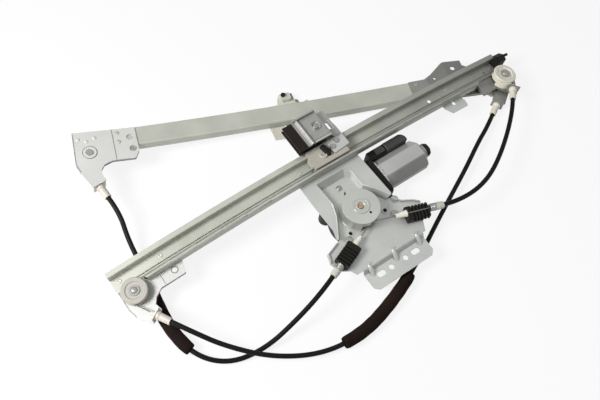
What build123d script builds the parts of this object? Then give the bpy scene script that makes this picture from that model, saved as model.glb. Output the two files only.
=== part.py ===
from build123d import *
import os
from math import cos, degrees, pi, radians, sin, tan

# Cable-drive window regulator of a vehicle door, lying on a bench, in millimetres.
# Z is up. X runs along guide rail A, whose open side faces up, and Y runs across it towards guide rail B.
# Rail B is turned over, so its web faces up and its own slider hangs below it.
# The origin is on the cable drum's axis, in the face of the gearbox cover that rests on the bench.

# Driving dimensions of the sheet metal and the two rails
sheet = 1.5
bend = 1.3
rail_depth = 12.0
rail_a_bow = 2500.0
rail_a_crown = 40.0
rail_a_y = 80.0
rail_a_start = -296.0
rail_a_end = 308.0
rail_a_half_width = 16.0
rail_a_bead = 5.0
rail_a_lip = 7.0
rail_b_bow = 5000.0
rail_b_dip = 15.6
rail_b_low_point = 260.0
rail_b_y = 178.3
rail_b_heading = -19.0
rail_b_start = -214.0
rail_b_end = 214.0
rail_b_half_width = 13.25

# Cable, pulleys and the sheathed conduits
wire_radius = 0.75
groove_radius = 12.5
groove_gap = 0.15
flange_radius = 16.0
pulley_height = 9.8
pulley_lift = 2.2
pin_radius = 3.0
running_gap = 0.05
assembly_gap = 0.3
conduit_radius = 3.0
foam_radius = 8.0
ferrule_radius = 5.5
ferrule_length = 18.0
pulley_a_lower = -278.0
pulley_a_upper = 303.0
pulley_b_lower = -244.6
pulley_b_upper = 316.0
pulley_offset_a = -20.0
pulley_offset_b = -16.0

# Drive unit
drum_radius = 20.0
drum_turns = 5
drum_pitch = 2.32
drum_flange = 1.2
drum_height = drum_turns * drum_pitch + 2 * drum_flange
drum_base = 32.6
cover_radius = 24.0
cover_top = 50.0
pocket_level = 30.0
flange_level = 39.4
strip_level = 22.0
motor_y = 30.0
motor_z = 17.0
motor_half_width = 21.0
motor_half_height = 16.4
motor_front = 61.0
motor_back = 127.0
gearcase_radius = 36.0
gearcase_floor = 3.0
shaft_radius = 5.0
wheel_radius = 25.0
left_wire_level = drum_base + drum_flange + 1.5 * drum_pitch
right_wire_level = drum_base + drum_flange + 3.5 * drum_pitch
left_outlet_angle = 201.0
right_outlet_angle = -18.4

os.makedirs("parts", exist_ok=True)


def keep(builder, name):
    """Labels a finished piece and writes it under its own name."""
    builder.part.label = name
    export_step(builder.part, f"parts/{name}.step")


def on_rail_a(along, across=0.0, above=0.0):
    """Plane on rail A: x along the rail, y across it, z out of its open side."""
    angle = along / rail_a_bow
    reach = rail_a_bow + above
    origin = (reach * sin(angle), rail_a_y + across, rail_a_crown - rail_a_bow + reach * cos(angle))
    return Plane(origin=origin, x_dir=(cos(angle), 0, -sin(angle)), z_dir=(sin(angle), 0, cos(angle)))


def on_rail_b(along, across=0.0, above=0.0):
    """Plane on rail B: x back along the rail, y across it, z out of its open side, which faces down."""
    angle = (along - rail_b_low_point) / rail_b_bow
    reach = rail_b_bow + above
    ahead = Vector(cos(radians(rail_b_heading)), sin(radians(rail_b_heading)), 0)
    side = Vector(-ahead.Y, ahead.X, 0)
    up = Vector(0, 0, 1)
    run = rail_b_low_point + reach * sin(angle)
    height = rail_b_dip + rail_b_bow - reach * cos(angle)
    origin = Vector(0, rail_b_y, 0) + ahead * run + side * across + up * height
    along_rail = ahead * cos(angle) + up * sin(angle)
    return Plane(origin=origin, x_dir=-along_rail, z_dir=ahead * sin(angle) - up * cos(angle))


def section(frame):
    """Plane across a rail at one of its frames: x across the rail, y out of its open side."""
    return Plane(origin=frame.origin, x_dir=frame.y_dir, z_dir=frame.x_dir)


def bow_axis(frame, bow):
    """Axis that a rail of this bow, and whatever slides on it, turns about."""
    return Axis(frame.origin - frame.z_dir * bow, frame.y_dir)


axis_a = bow_axis(on_rail_a(0), rail_a_bow)
axis_b = bow_axis(on_rail_b(0), rail_b_bow)
rail_a_angle = degrees((rail_a_end - rail_a_start) / rail_a_bow)
rail_b_angle = degrees((rail_b_end - rail_b_start) / rail_b_bow)

# Rivets that hold each bracket to its rail, as places along and across it
rivet_radius = 2.4
rivet_head_radius = 4.0
rivet_head_height = 0.9
rivet_fit = 0.02
rivets_a = [(-287, 3), (-232, 3), (266, 3), (299, 3), (200, -1), (224, -1)]
rivets_b = [(-208, -6.5), (-208, 6.5), (203, -6.5), (203, 6.5)]
rivet_frames_a = [on_rail_a(*place) for place in rivets_a]
rivet_frames_b = [on_rail_b(*place) for place in rivets_b]
rivet_frames = rivet_frames_a + rivet_frames_b


def drill(frames, radius):
    """Cuts a round hole through the sheet at each frame."""
    for frame in frames:
        with BuildSketch(frame) as hole:
            Circle(radius)
        extrude(hole.sketch, amount=2 * sheet, both=True, mode=Mode.SUBTRACT)


# Rail A: a channel with a folded bead on one side and an outward lip on the other
bead_outer = -rail_a_half_width + sheet / 2
bead_inner = -rail_a_half_width + rail_a_bead - sheet / 2
lip_wall = rail_a_half_width - rail_a_lip + sheet / 2
floor_mid = sheet / 2
top_mid = rail_depth - sheet / 2
lower_cutback = 40.0
upper_cutback = 56.0
rail_a_hole_radius = 2.7
rail_a_holes = [(-17, -6), (23, 2), (180, 0), (213, 5), (285, -1)]
plate_rivet_radius = 2.5
plate_rivet_places = [(0, 41), (-34, 80), (4, 80), (34, 80)]
with BuildPart() as rail_a:
    with BuildSketch(section(on_rail_a(rail_a_start))):
        with BuildLine():
            FilletPolyline(
                (bead_outer, 0), (bead_outer, top_mid), (bead_inner, top_mid), (bead_inner, floor_mid),
                (lip_wall, floor_mid), (lip_wall, top_mid), (rail_a_half_width, top_mid), radius=bend,
            )
        trace(line_width=sheet)
    revolve(axis=axis_a, revolution_arc=rail_a_angle)
    for frame, ahead in ((on_rail_a(rail_a_start), lower_cutback), (on_rail_a(rail_a_end), -upper_cutback)):
        with BuildSketch(frame.offset(-bend)):
            with BuildLine():
                Polyline(
                    (-ahead / 4, -rail_a_half_width - 1), (ahead, -rail_a_half_width - 1),
                    (ahead * 0.82, bead_inner + 2 * bend), (-ahead / 4, bead_inner + 2 * bend), close=True,
                )
            make_face()
        extrude(amount=rail_depth + 2 * bend, mode=Mode.SUBTRACT)
    drill([on_rail_a(along, across) for along, across in rail_a_holes], rail_a_hole_radius)
    drill([on_rail_a(x, y - rail_a_y) for x, y in plate_rivet_places[1:]], plate_rivet_radius)
    drill(rivet_frames_a, rivet_radius)
keep(rail_a, "rail_a")

# Rail B: a plain channel, web up
wall_b = rail_b_half_width - sheet / 2
with BuildPart() as rail_b:
    with BuildSketch(section(on_rail_b(rail_b_end))):
        with BuildLine():
            FilletPolyline(
                (-wall_b, rail_depth), (-wall_b, floor_mid), (wall_b, floor_mid), (wall_b, rail_depth),
                radius=bend,
            )
        trace(line_width=sheet)
    revolve(axis=axis_b, revolution_arc=rail_b_angle)
    drill(rivet_frames_b, rivet_radius)
keep(rail_b, "rail_b")


def along_section(frame):
    """Upright plane through a frame's own z: x along the frame's x, y along its z."""
    return Plane(origin=frame.origin, x_dir=frame.x_dir, z_dir=-frame.y_dir)


# The four rail ends: each pulley's frame, the way its cable turns, and the heading at which the cable leaves
end_frames = {
    "a_lower": (on_rail_a(pulley_a_lower, pulley_offset_a), -1, -60.0, 36.0),
    "a_upper": (on_rail_a(pulley_a_upper, pulley_offset_a), 1, -135.0, 21.0),
    "b_lower": (on_rail_b(pulley_b_lower, pulley_offset_b), 1, -113.0, 43.0),
    "b_upper": (on_rail_b(pulley_b_upper, pulley_offset_b), -1, -48.0, 28.0),
}
wire_turn = groove_radius + wire_radius + groove_gap
wire_level = pulley_lift + pulley_height / 2


def cable_exit(end, distance):
    """Plane on the cable's straight run off a pulley, this far past the pulley, z along the run."""
    frame, turn, heading, _ = end_frames[end]
    ahead = Vector(cos(radians(heading)), sin(radians(heading)), 0)
    leave = Vector(-ahead.Y, ahead.X, 0) * turn * wire_turn
    spot = leave + ahead * distance
    origin = frame.from_local_coords(Vector(spot.X, spot.Y, wire_level))
    return Plane(origin=origin, x_dir=frame.z_dir, z_dir=frame.x_dir * ahead.X + frame.y_dir * ahead.Y)


# Pressed brackets that carry the pulleys: outlines round the pulley's axis, rail side towards y
tab_width = 19.0
tab_height = 13.5
tab_slot = 3.6
tab_margin = 0.4
outlines = {
    "a_lower": [
        (-17, 28), (-17, -12), (-14, -26), None, (12, -24), (17, -17), (27, -11), (60, -11), (65, 6),
        (65, 28),
    ],
    "a_upper": [(17, 26), (17, -10), None, (-19, -9), (-42, -9), (-42, 26)],
    "b_lower": [
        (17.5, 31), (19, -14), (15, -27), None, (-10, -34), (-10, -26), (-14, -20), (-25, -15.5),
        (-53, -16.5), (-59, -7), (-59, 28), (-31, 28.8),
    ],
    "b_upper": [
        (-17, 20), (-17, -12), None, (8, -16), (16, -12), (60, -9), (98, 3), (123, 3), (123, 28.5),
        (99, 28.5), (88, 34), (66, 50), (38, 48), (38, 40), (32, 33),
    ],
}
bracket_holes = {
    "a_lower": [(51, -1, 3.3)],
    "a_upper": [],
    "b_lower": [(-52, -2.7, 3.4), (-51, 14.4, 4.2)],
    "b_upper": [(52, 38, 3.3), (84, 27, 2.0)],
}
bracket_span = 160.0
bracket_sag = 3.0
bracket_reach = 130.0
corner_radius = 1.0


def bowed_plate(frame, bow, corners):
    """A plate cut to an outline, bowed like the rail whose outer face it lies against."""
    turn = bracket_span / bow
    ends = [
        [(way * reach * sin(turn), reach * cos(turn) - bow) for way in (-1, 1)] for reach in (bow, bow - sheet)
    ]
    with BuildPart() as plate:
        with BuildSketch(along_section(frame)):
            with BuildLine():
                ThreePointArc(ends[0][0], (0, 0), ends[0][1])
                Line(ends[0][1], ends[1][1])
                ThreePointArc(ends[1][1], (0, -sheet), ends[1][0])
                Line(ends[1][0], ends[0][0])
            make_face()
        extrude(amount=bracket_span / 2, both=True)
        with BuildSketch(frame.offset(-2 * bracket_sag)) as outline:
            Polygon(*corners, align=None)
            fillet(outline.vertices(), radius=corner_radius)
        extrude(amount=4 * bracket_sag, mode=Mode.INTERSECT)
        near = [spot for spot in rivet_frames if (spot.origin - frame.origin).length < bracket_reach]
        drill(near, rivet_radius)
    return plate.part


def pulley_bracket(end):
    """A plate against the rail's outer face, with a tab turned up round the conduit's end."""
    frame, turn, heading, tab_distance = end_frames[end]
    bow = rail_a_bow if end.startswith("a") else rail_b_bow
    ahead = Vector(cos(radians(heading)), sin(radians(heading)), 0)
    middle = Vector(-ahead.Y, ahead.X, 0) * turn * wire_turn + ahead * (tab_distance + tab_margin)
    half = Vector(-ahead.Y, ahead.X, 0) * turn * tab_width / 2
    corners = []
    for point in outlines[end]:
        ends = (middle + half, middle - half)
        corners += [(spot.X, spot.Y) for spot in ends] if point is None else [point]
    with BuildPart() as bracket:
        add(bowed_plate(frame, bow, corners))
        slot_plane = cable_exit(end, tab_distance)
        with BuildSketch(slot_plane):
            with Locations((tab_height / 2 - wire_level - sheet / 4, 0)):
                Rectangle(tab_height + sheet / 2, tab_width - 2.6)
            Circle(tab_slot, mode=Mode.SUBTRACT)
        extrude(amount=-sheet)
        with BuildSketch(frame):
            Circle(pin_radius)
            for x, y, radius in bracket_holes[end]:
                with Locations((x, y)):
                    Circle(radius)
        extrude(amount=2 * sheet, both=True, mode=Mode.SUBTRACT)
    return bracket


bracket_names = {
    "a_lower": "rail_a_lower_bracket", "a_upper": "rail_a_upper_bracket",
    "b_lower": "rail_b_lower_bracket", "b_upper": "rail_b_upper_bracket",
}
for end, name in bracket_names.items():
    keep(pulley_bracket(end), name)

# Pulleys, each a grooved wheel with a shallow recess, and the shouldered rivets that they turn on
journal_radius = pin_radius - running_gap
shoulder_height = pulley_lift - 0.2
washer_radius = 6.5
washer_height = 1.0
rivet_head = 4.2
for end, (frame, turn, heading, _) in end_frames.items():
    base, top, middle = pulley_lift, pulley_lift + pulley_height, wire_level
    with BuildPart() as pulley:
        with BuildSketch(along_section(frame)):
            with BuildLine():
                Polyline(
                    (pin_radius, base), (flange_radius - 1, base), (flange_radius, base + 1),
                    (flange_radius, base + 2), (groove_radius, middle - 1), (groove_radius, middle + 1),
                    (flange_radius, top - 2.4), (flange_radius, top - 1), (flange_radius - 1, top),
                    (11, top), (10, top - 1), (pin_radius, top - 1), close=True,
                )
            make_face()
        revolve(axis=Axis(frame.origin, frame.z_dir))
    keep(pulley, f"pulley_{end}")

pin_top = pulley_lift + pulley_height - 1 + assembly_gap
with BuildPart() as pulley_rivets:
    for frame, turn, heading, _ in end_frames.values():
        with BuildSketch(along_section(frame)):
            Polygon(
                (0, -sheet - 0.8), (4.4, -sheet - 0.8), (4.4, -sheet - 0.01), (pin_radius, -sheet - 0.01),
                (pin_radius, 0.01), (5.5, 0.01), (5.5, shoulder_height), (journal_radius, shoulder_height),
                (journal_radius, pin_top), (washer_radius, pin_top),
                (washer_radius, pin_top + washer_height), (rivet_head, pin_top + washer_height),
                (rivet_head - 0.6, pin_top + washer_height + 1),
                (rivet_head - 1.8, pin_top + washer_height + 1.8), (0, pin_top + washer_height + 2.1),
                align=None,
            )
        revolve(axis=Axis(frame.origin, frame.z_dir))
keep(pulley_rivets, "pulley_rivets")

# Moulded ends that carry the conduits in the bracket tabs
for end, (frame, turn, heading, tab_distance) in end_frames.items():
    start = cable_exit(end, tab_distance)
    with BuildPart() as ferrule:
        with BuildSketch(Plane(origin=start.origin, x_dir=start.x_dir, z_dir=-start.y_dir)):
            with BuildLine():
                Polyline(
                    (wire_radius + groove_gap, -7), (2.2, -7), (3.3, -sheet), (3.3, 0), (ferrule_radius, 0),
                    (ferrule_radius, 3), (4.6, 5), (4.4, ferrule_length),
                    (wire_radius + groove_gap, ferrule_length), close=True,
                )
            make_face()
        revolve(axis=Axis(start.origin, start.z_dir))
    keep(ferrule, f"conduit_end_{end}")

# The bare cable on each rail: along the channel, round both pulleys and out to the conduits
for rail, lower, upper, axis, bow in (
    ("a", "a_lower", "a_upper", axis_a, rail_a_bow), ("b", "b_upper", "b_lower", axis_b, rail_b_bow),
):
    near, far = end_frames[lower][0], end_frames[upper][0]
    start = near.from_local_coords(Vector(0, wire_turn, wire_level))
    with BuildPart() as wire:
        with BuildSketch(Plane(origin=start, x_dir=near.y_dir, z_dir=near.x_dir)):
            Circle(wire_radius)
        revolve(axis=axis, revolution_arc=near.z_dir.get_angle(far.z_dir))
        for end in (lower, upper):
            frame, turn, heading, tab_distance = end_frames[end]
            pivot = frame.offset(wire_level).origin
            top = frame.from_local_coords(Vector(0, wire_turn, wire_level))
            leave = cable_exit(end, 0)
            with BuildSketch(Plane(origin=top, x_dir=frame.y_dir, z_dir=frame.x_dir * turn)):
                Circle(wire_radius)
            wrap = abs(heading) if turn > 0 else 180 + heading
            revolve(axis=Axis(pivot, frame.z_dir * -turn), revolution_arc=wrap)
            with BuildSketch(leave):
                Circle(wire_radius)
            extrude(amount=tab_distance + ferrule_length - 1)
    keep(wire, f"cable_rail_{rail}")

# Pressed plate of the drive unit: a flange on rail A, a sunk pocket for the drum and a stepped-down strip
flange_outer = [(-44, 88), (-45, 40), (-44, -4), (-48, -18)]
wall_path = [(-46, -18), (-29, 9), (-24, 23), (-25, 58), (18, 58), (24, 50), (25, 26), (36, 13), (46, -4)]
flange_far = [(48, -2), (46, 53), (44, 88)]
wall_draft = 0.87
strip_wall_y = -64.0
strip_wall_run = 4.0
strip_far_y = -92.5
strip_left = -41.0
strip_right = 52.0
strip_middle = 5.0
strip_hole_radius = 3.5
strip_hole_spacing = 22.0
strip_slot_spacing = 53.0
strip_slot_length = 12.0
strip_hole_y = -77.0
dart_positions = (-30.0, 7.0, 44.0)
collar_radius = 4.0
collar_places = [(30, -15), (-25, -17)]
drive_screw_radius = 2.4
drive_screw_places = [(37, -25), (-32.5, -22.5), (50, -9)]
pocket_outline = [
    (-47, -18), (-66, -24), (-70, -36), (-64, -50), (-54, -56), (-50, strip_wall_y), (56, strip_wall_y),
    (62, -52), (75, -46), (76, -30), (68, -24), (55, -17), (46, -4),
]
shaft_opening = 11.0
with BuildPart() as drive_plate:
    with BuildSketch(Plane.XY.offset(flange_level - sheet)):
        with BuildLine():
            Polyline(*flange_outer, *wall_path, *flange_far, close=True)
        make_face()
    extrude(amount=sheet)
    with BuildSketch(Plane.XY.offset(pocket_level - sheet)):
        with BuildLine():
            inner_path = [(x * wall_draft, y * wall_draft) for x, y in reversed(wall_path)]
            Polyline(*pocket_outline, *inner_path, close=True)
        make_face()
    extrude(amount=sheet)
    for level, share in ((flange_level, 1.0), (pocket_level - sheet, wall_draft)):
        with BuildSketch(Plane.XY.offset(level)):
            with BuildLine():
                Polyline(*[(x * share, y * share) for x, y in wall_path])
            trace(line_width=sheet)
    loft(ruled=True)
    with BuildSketch(Plane.YZ.offset(strip_left)):
        with BuildLine():
            FilletPolyline(
                (strip_wall_y + 5, pocket_level - sheet / 2), (strip_wall_y, pocket_level - sheet / 2),
                (strip_wall_y - strip_wall_run, strip_level - sheet / 2),
                (strip_far_y, strip_level - sheet / 2), radius=2 * bend,
            )
        trace(line_width=sheet)
    extrude(amount=strip_right - strip_left)
    for x in dart_positions:
        with BuildSketch(Plane.YZ.offset(x - 2)):
            Polygon(
                (strip_wall_y + 2, pocket_level - sheet / 2), (strip_wall_y - 9, strip_level - sheet / 2),
                (strip_wall_y - strip_wall_run, strip_level - sheet / 2), align=None,
            )
        extrude(amount=4)
    with BuildSketch(Plane.XY.offset(strip_level)):
        with Locations((strip_left, strip_far_y), (strip_right, strip_far_y)):
            Rectangle(11, 11)
        with Locations((strip_left + 12, strip_far_y + 12), (strip_right - 12, strip_far_y + 12)):
            Circle(13, mode=Mode.SUBTRACT)
    extrude(amount=3 * sheet, both=True, mode=Mode.SUBTRACT)
    with BuildSketch(Plane.XY.offset(strip_level)):
        with Locations((strip_middle, strip_hole_y)):
            with GridLocations(strip_hole_spacing, 1, 2, 1):
                Circle(strip_hole_radius)
            with GridLocations(strip_slot_spacing, 1, 2, 1):
                SlotOverall(strip_slot_length, 2 * strip_hole_radius)
    extrude(amount=2 * sheet, both=True, mode=Mode.SUBTRACT)
    with BuildSketch(Plane.XY.offset(pocket_level)):
        with Locations(*collar_places):
            Circle(collar_radius)
    extrude(amount=1.2)
    with BuildSketch(Plane.XY.offset(pocket_level + 1.2)):
        Circle(shaft_opening)
        with Locations(*collar_places):
            Circle(2.6)
        with Locations(plate_rivet_places[0]):
            Circle(plate_rivet_radius)
        with Locations(*drive_screw_places):
            Circle(drive_screw_radius)
        with Locations((2, 31)):
            SlotOverall(5, 2, rotation=50)
    extrude(amount=-2 * sheet - 1.2, mode=Mode.SUBTRACT)
    with BuildSketch(Plane.XY.offset(flange_level)):
        with Locations(*plate_rivet_places[1:]):
            Circle(plate_rivet_radius)
    extrude(amount=-2 * sheet, mode=Mode.SUBTRACT)
keep(drive_plate, "drive_plate")

# Drum under its cover, on the gearbox's output shaft, with the worm wheel below
with BuildPart() as cable_drum:
    with BuildSketch(Plane.XZ):
        root = drum_radius - wire_radius - groove_gap
        rim = drum_radius + 1
        profile = [(shaft_radius, drum_base), (rim, drum_base), (rim, drum_base + drum_flange)]
        for turn in range(drum_turns):
            low = drum_base + drum_flange + turn * drum_pitch
            profile += [(root, low + drum_pitch * 0.3), (root, low + drum_pitch * 0.7)]
            profile += [(root + 0.9, low + drum_pitch)] if turn < drum_turns - 1 else []
        profile += [(rim, drum_base + drum_height - drum_flange), (rim, drum_base + drum_height)]
        Polygon(*profile, (shaft_radius, drum_base + drum_height), align=None)
    revolve(axis=Axis.Z)
    with BuildSketch(Plane.XY.offset(drum_base + drum_height)):
        with PolarLocations(12.5, 6):
            SlotOverall(9, 5, rotation=90)
    extrude(amount=-drum_height * 0.4, mode=Mode.SUBTRACT)
keep(cable_drum, "cable_drum")

cover_wall = 1.5
outlet_angle_left = radians(left_outlet_angle)
outlet_angle_right = radians(right_outlet_angle)


def outlet(angle, level, distance):
    """Plane on the cable's straight run off the drum, this far past it, z along the run and x up."""
    ahead = Vector(cos(angle), sin(angle), 0)
    leave = Vector(-ahead.Y, ahead.X, 0)
    leave = leave if leave.Y < 0 else -leave
    origin = leave * drum_radius + ahead * distance + Vector(0, 0, level)
    return Plane(origin=origin, x_dir=(0, 0, 1), z_dir=ahead)


outlets = {
    "left": (outlet_angle_left, left_wire_level, 43.0),
    "right": (outlet_angle_right, right_wire_level, 54.0),
}
hub_radius = 10.0
bush_radius = 3.6
cover_flange = 0.9
with BuildPart() as drum_cover:
    with BuildSketch(Plane.XZ):
        with BuildLine():
            FilletPolyline(
                (cover_radius + cover_flange, pocket_level),
                (cover_radius + cover_flange, pocket_level + cover_wall),
                (cover_radius, pocket_level + cover_wall), (cover_radius, cover_top),
                (hub_radius, cover_top), (hub_radius, cover_top + 1), (bush_radius + 1.4, cover_top + 1),
                (bush_radius + 1.4, cover_top - 0.6), (bush_radius, cover_top - 0.6),
                (bush_radius, cover_top - cover_wall), (cover_radius - cover_wall, cover_top - cover_wall),
                (cover_radius - cover_wall, pocket_level), radius=0.3, close=True,
            )
        make_face()
    revolve(axis=Axis.Z)
    for angle, level, start in outlets.values():
        with BuildSketch(outlet(angle, level, 6)):
            with Locations(((pocket_level - level) / 2, 0)):
                Rectangle(level - pocket_level + 8, 10)
        extrude(amount=cover_radius, mode=Mode.SUBTRACT)
    with BuildSketch(Plane.XY.offset(cover_top)):
        with Locations((5, -13)):
            Circle(1.6)
    extrude(amount=-2 * cover_wall, mode=Mode.SUBTRACT)
keep(drum_cover, "drum_cover")

wheel_base = 11.0
wheel_height = 12.0
wheel_teeth = 48
shaft_top = cover_top + 0.4
with BuildPart() as output_shaft:
    with BuildSketch(Plane.XZ):
        Polygon(
            (0, gearcase_floor + 1), (4, gearcase_floor + 1), (4, wheel_base), (shaft_radius, wheel_base),
            (shaft_radius, drum_base + drum_height), (bush_radius - running_gap, drum_base + drum_height),
            (bush_radius - running_gap, shaft_top - 0.8), (bush_radius - 0.8, shaft_top), (0, shaft_top),
            align=None,
        )
    revolve(axis=Axis.Z)
keep(output_shaft, "output_shaft")
tooth_depth = 2.2
with BuildPart() as worm_wheel:
    with BuildSketch(Plane.XY.offset(wheel_base)):
        Circle(wheel_radius - tooth_depth)
        with PolarLocations(wheel_radius - tooth_depth - 0.3, wheel_teeth):
            with BuildLine():
                root = tooth_depth + 0.3
                Polyline((0, -1.15), (root, -0.55), (root, 0.55), (0, 1.15), close=True)
            make_face()
        Circle(shaft_radius, mode=Mode.SUBTRACT)
    extrude(amount=wheel_height)
keep(worm_wheel, "worm_wheel")

# Gearcase under the plate, with the worm's tunnel and the flange that the motor bolts to
drive_screw_length = 10.0
tunnel_radius = 9.5
wheel_gap = 1.0
worm_radius = 6.5
with BuildPart() as gearbox_housing:
    case_height = pocket_level - sheet - gearcase_floor
    with BuildSketch(Plane.XY.offset(gearcase_floor)):
        Circle(gearcase_radius)
        with Locations((-30, 24)):
            Circle(9)
        with Locations((20, motor_y)):
            Rectangle(56, 2 * tunnel_radius + 6)
        with Locations((44, -8), (-31, -22), (34, -23)):
            Circle(10)
    extrude(amount=case_height)
    fillet(gearbox_housing.edges().group_by(Axis.Z)[0], radius=2)
    with BuildSketch(Plane.YZ.offset(47)):
        with Locations((motor_y - 1, motor_z)):
            RectangleRounded(55, 2 * motor_half_height + 1, 7)
    extrude(amount=11)
    with BuildSketch(Plane.XY.offset(gearcase_floor)):
        Circle(wheel_radius + wheel_gap)
    extrude(amount=wheel_base + wheel_height + wheel_gap - gearcase_floor, mode=Mode.SUBTRACT)
    with BuildSketch(Plane.XY.offset(gearcase_floor)):
        Circle(shaft_radius + running_gap)
    extrude(amount=case_height + 1, mode=Mode.SUBTRACT)
    with BuildSketch(Plane.YZ.offset(-26)):
        with Locations((motor_y + 1.5, motor_z)):
            Circle(worm_radius + 0.6)
    extrude(amount=84, mode=Mode.SUBTRACT)
    with BuildSketch(Plane.XY.offset(pocket_level)):
        with Locations(*drive_screw_places):
            Circle(drive_screw_radius)
    extrude(amount=-drive_screw_length, mode=Mode.SUBTRACT)
keep(gearbox_housing, "gearbox_housing")

with BuildPart() as gearbox_cover:
    with BuildSketch():
        Circle(gearcase_radius - 2)
    extrude(amount=gearcase_floor)
    chamfer(gearbox_cover.edges().group_by(Axis.Z)[0], length=0.8)
    with BuildSketch(Plane.XY.offset(gearcase_floor)):
        Circle(4 + running_gap)
    extrude(amount=-1.5, mode=Mode.SUBTRACT)
    with BuildSketch(Plane.XY.offset(gearcase_floor)):
        Circle(8)
        Circle(4 + running_gap, mode=Mode.SUBTRACT)
    extrude(amount=wheel_base - gearcase_floor - 0.6)
    with BuildSketch():
        with PolarLocations(gearcase_radius - 7, 6, start_angle=30):
            Circle(3)
    extrude(amount=0.8, mode=Mode.SUBTRACT)
keep(gearbox_cover, "gearbox_cover")

# Motor: a flattened steel can with its rear bearing boss
boss_radius = 8.0
with BuildPart() as motor_can:
    with BuildSketch(Plane.YZ.offset(motor_front - 3)):
        with Locations((motor_y, motor_z)):
            RectangleRounded(2 * motor_half_width + 6, 2 * motor_half_height, 9)
    extrude(amount=2)
    with BuildSketch(Plane.YZ.offset(motor_front - 1)):
        with Locations((motor_y, motor_z)):
            RectangleRounded(2 * motor_half_width, 2 * motor_half_height, 13)
    extrude(amount=motor_back - motor_front)
    chamfer(motor_can.faces().sort_by(Axis.X)[-1].edges(), length=3)
    with BuildSketch(Plane.YZ.offset(motor_back - 2)):
        with Locations((motor_y, motor_z)):
            Circle(boss_radius + 1.5)
    extrude(amount=6, taper=8)
    with BuildSketch(Plane.YZ.offset(motor_back + 4)):
        with Locations((motor_y, motor_z)):
            Circle(boss_radius - 1.5)
    extrude(amount=-5, mode=Mode.SUBTRACT)
keep(motor_can, "motor_can")
with BuildPart() as motor_bearing_cap:
    with BuildSketch(Plane.YZ.offset(motor_back - 1)):
        with Locations((motor_y, motor_z)):
            Circle(boss_radius - 1.5)
    extrude(amount=11)
    chamfer(motor_bearing_cap.faces().sort_by(Axis.X)[-1].edges(), length=1.5)
    with BuildSketch(Plane.YZ.offset(motor_back + 10)):
        with Locations((motor_y, motor_z)):
            Circle(2.4)
    extrude(amount=2.5)
keep(motor_bearing_cap, "motor_bearing_cap")

# Control electronics and the connector between the motor and rail A
motor_side = motor_y + motor_half_width
with BuildPart() as electronics_housing:
    with BuildSketch(Plane.XY.offset(9)):
        with BuildLine():
            Polyline((86, motor_side), (86, 63), (112, 63))
            ThreePointArc((112, 63), (117, 60), (119, motor_side))
            Line((119, motor_side), (86, motor_side))
        make_face()
    extrude(amount=24)
    fillet(electronics_housing.edges().group_by(Axis.Z)[-1], radius=2)
keep(electronics_housing, "electronics_housing")
with BuildPart() as connector_socket:
    with BuildSketch(Plane.XY.offset(10)):
        Polygon((60, motor_side), (86, motor_side), (86, 63), (60, 63), align=None)
    extrude(amount=20)
    with BuildSketch(Plane.XZ.offset(-63)):
        with Locations((72, 20)):
            Rectangle(22, 14)
    extrude(amount=8, mode=Mode.SUBTRACT)
keep(connector_socket, "connector_socket")
with BuildPart() as connector_latch:
    with BuildSketch(Plane.XY.offset(30)):
        with Locations((77, 57)):
            RectangleRounded(13, 9, 1.5)
    extrude(amount=3)
    with BuildSketch(Plane.XY.offset(33)):
        with Locations((74, 57)):
            Rectangle(4, 7)
    extrude(amount=1)
keep(connector_latch, "connector_latch")

# Outlets: guide nose, ribbed retainer in the plate, tension spring and sleeve on each conduit's end
retainer_length = 30.0
spring_length = 9.0
sleeve_length = 10.0
retainer_width = 19.0
retainer_height = 13.0
for side, (angle, level, start) in outlets.items():
    with BuildPart() as guide:
        plane = outlet(angle, level, start - 14)
        with BuildSketch(Plane(origin=plane.origin, x_dir=plane.x_dir, z_dir=-plane.y_dir)):
            Polygon(
                (wire_radius + groove_gap, 0), (2.4, 0), (4.5, 14), (wire_radius + groove_gap, 14),
                align=None,
            )
        revolve(axis=Axis(plane.origin, plane.z_dir))
    keep(guide, f"outlet_guide_{side}")
    with BuildPart() as retainer:
        lift = pocket_level + 0.1 - level
        for step in range(5):
            wide = retainer_width - (0 if step % 2 == 0 else 2.4)
            with BuildSketch(outlet(angle, level, start + step * retainer_length / 5)):
                with Locations((lift + (retainer_height - 1) / 2, 0)):
                    RectangleRounded(retainer_height - 1 + (0 if step % 2 == 0 else -1.4), wide, 2.5)
            extrude(amount=retainer_length / 5)
        with BuildSketch(outlet(angle, level, start)):
            Circle(wire_radius + groove_gap)
        extrude(amount=retainer_length, mode=Mode.SUBTRACT)
    keep(retainer, f"outlet_retainer_{side}")
    coils = 6
    with BuildPart() as spring:
        plane = outlet(angle, level, start + retainer_length)
        with BuildSketch(Plane(origin=plane.origin, x_dir=plane.x_dir, z_dir=-plane.y_dir)):
            Rectangle(2.6, spring_length, align=(Align.MIN, Align.MIN))
            pitch = spring_length / coils
            with Locations(*[(2.6, pitch * (turn + 0.5)) for turn in range(coils)]):
                Rectangle(2.4, pitch * 0.62, align=(Align.MIN, Align.CENTER))
            Rectangle(wire_radius + groove_gap, spring_length, align=(Align.MIN, Align.MIN), mode=Mode.SUBTRACT)
        revolve(axis=Axis(plane.origin, plane.z_dir))
    keep(spring, f"outlet_spring_{side}")
    with BuildPart() as sleeve:
        plane = outlet(angle, level, start + retainer_length + spring_length)
        with BuildSketch(Plane(origin=plane.origin, x_dir=plane.x_dir, z_dir=-plane.y_dir)):
            Polygon(
                (wire_radius + groove_gap, 0), (5, 0), (5, 4), (4.4, sleeve_length),
                (wire_radius + groove_gap, sleeve_length), align=None,
            )
        revolve(axis=Axis(plane.origin, plane.z_dir))
    keep(sleeve, f"outlet_sleeve_{side}")
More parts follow.
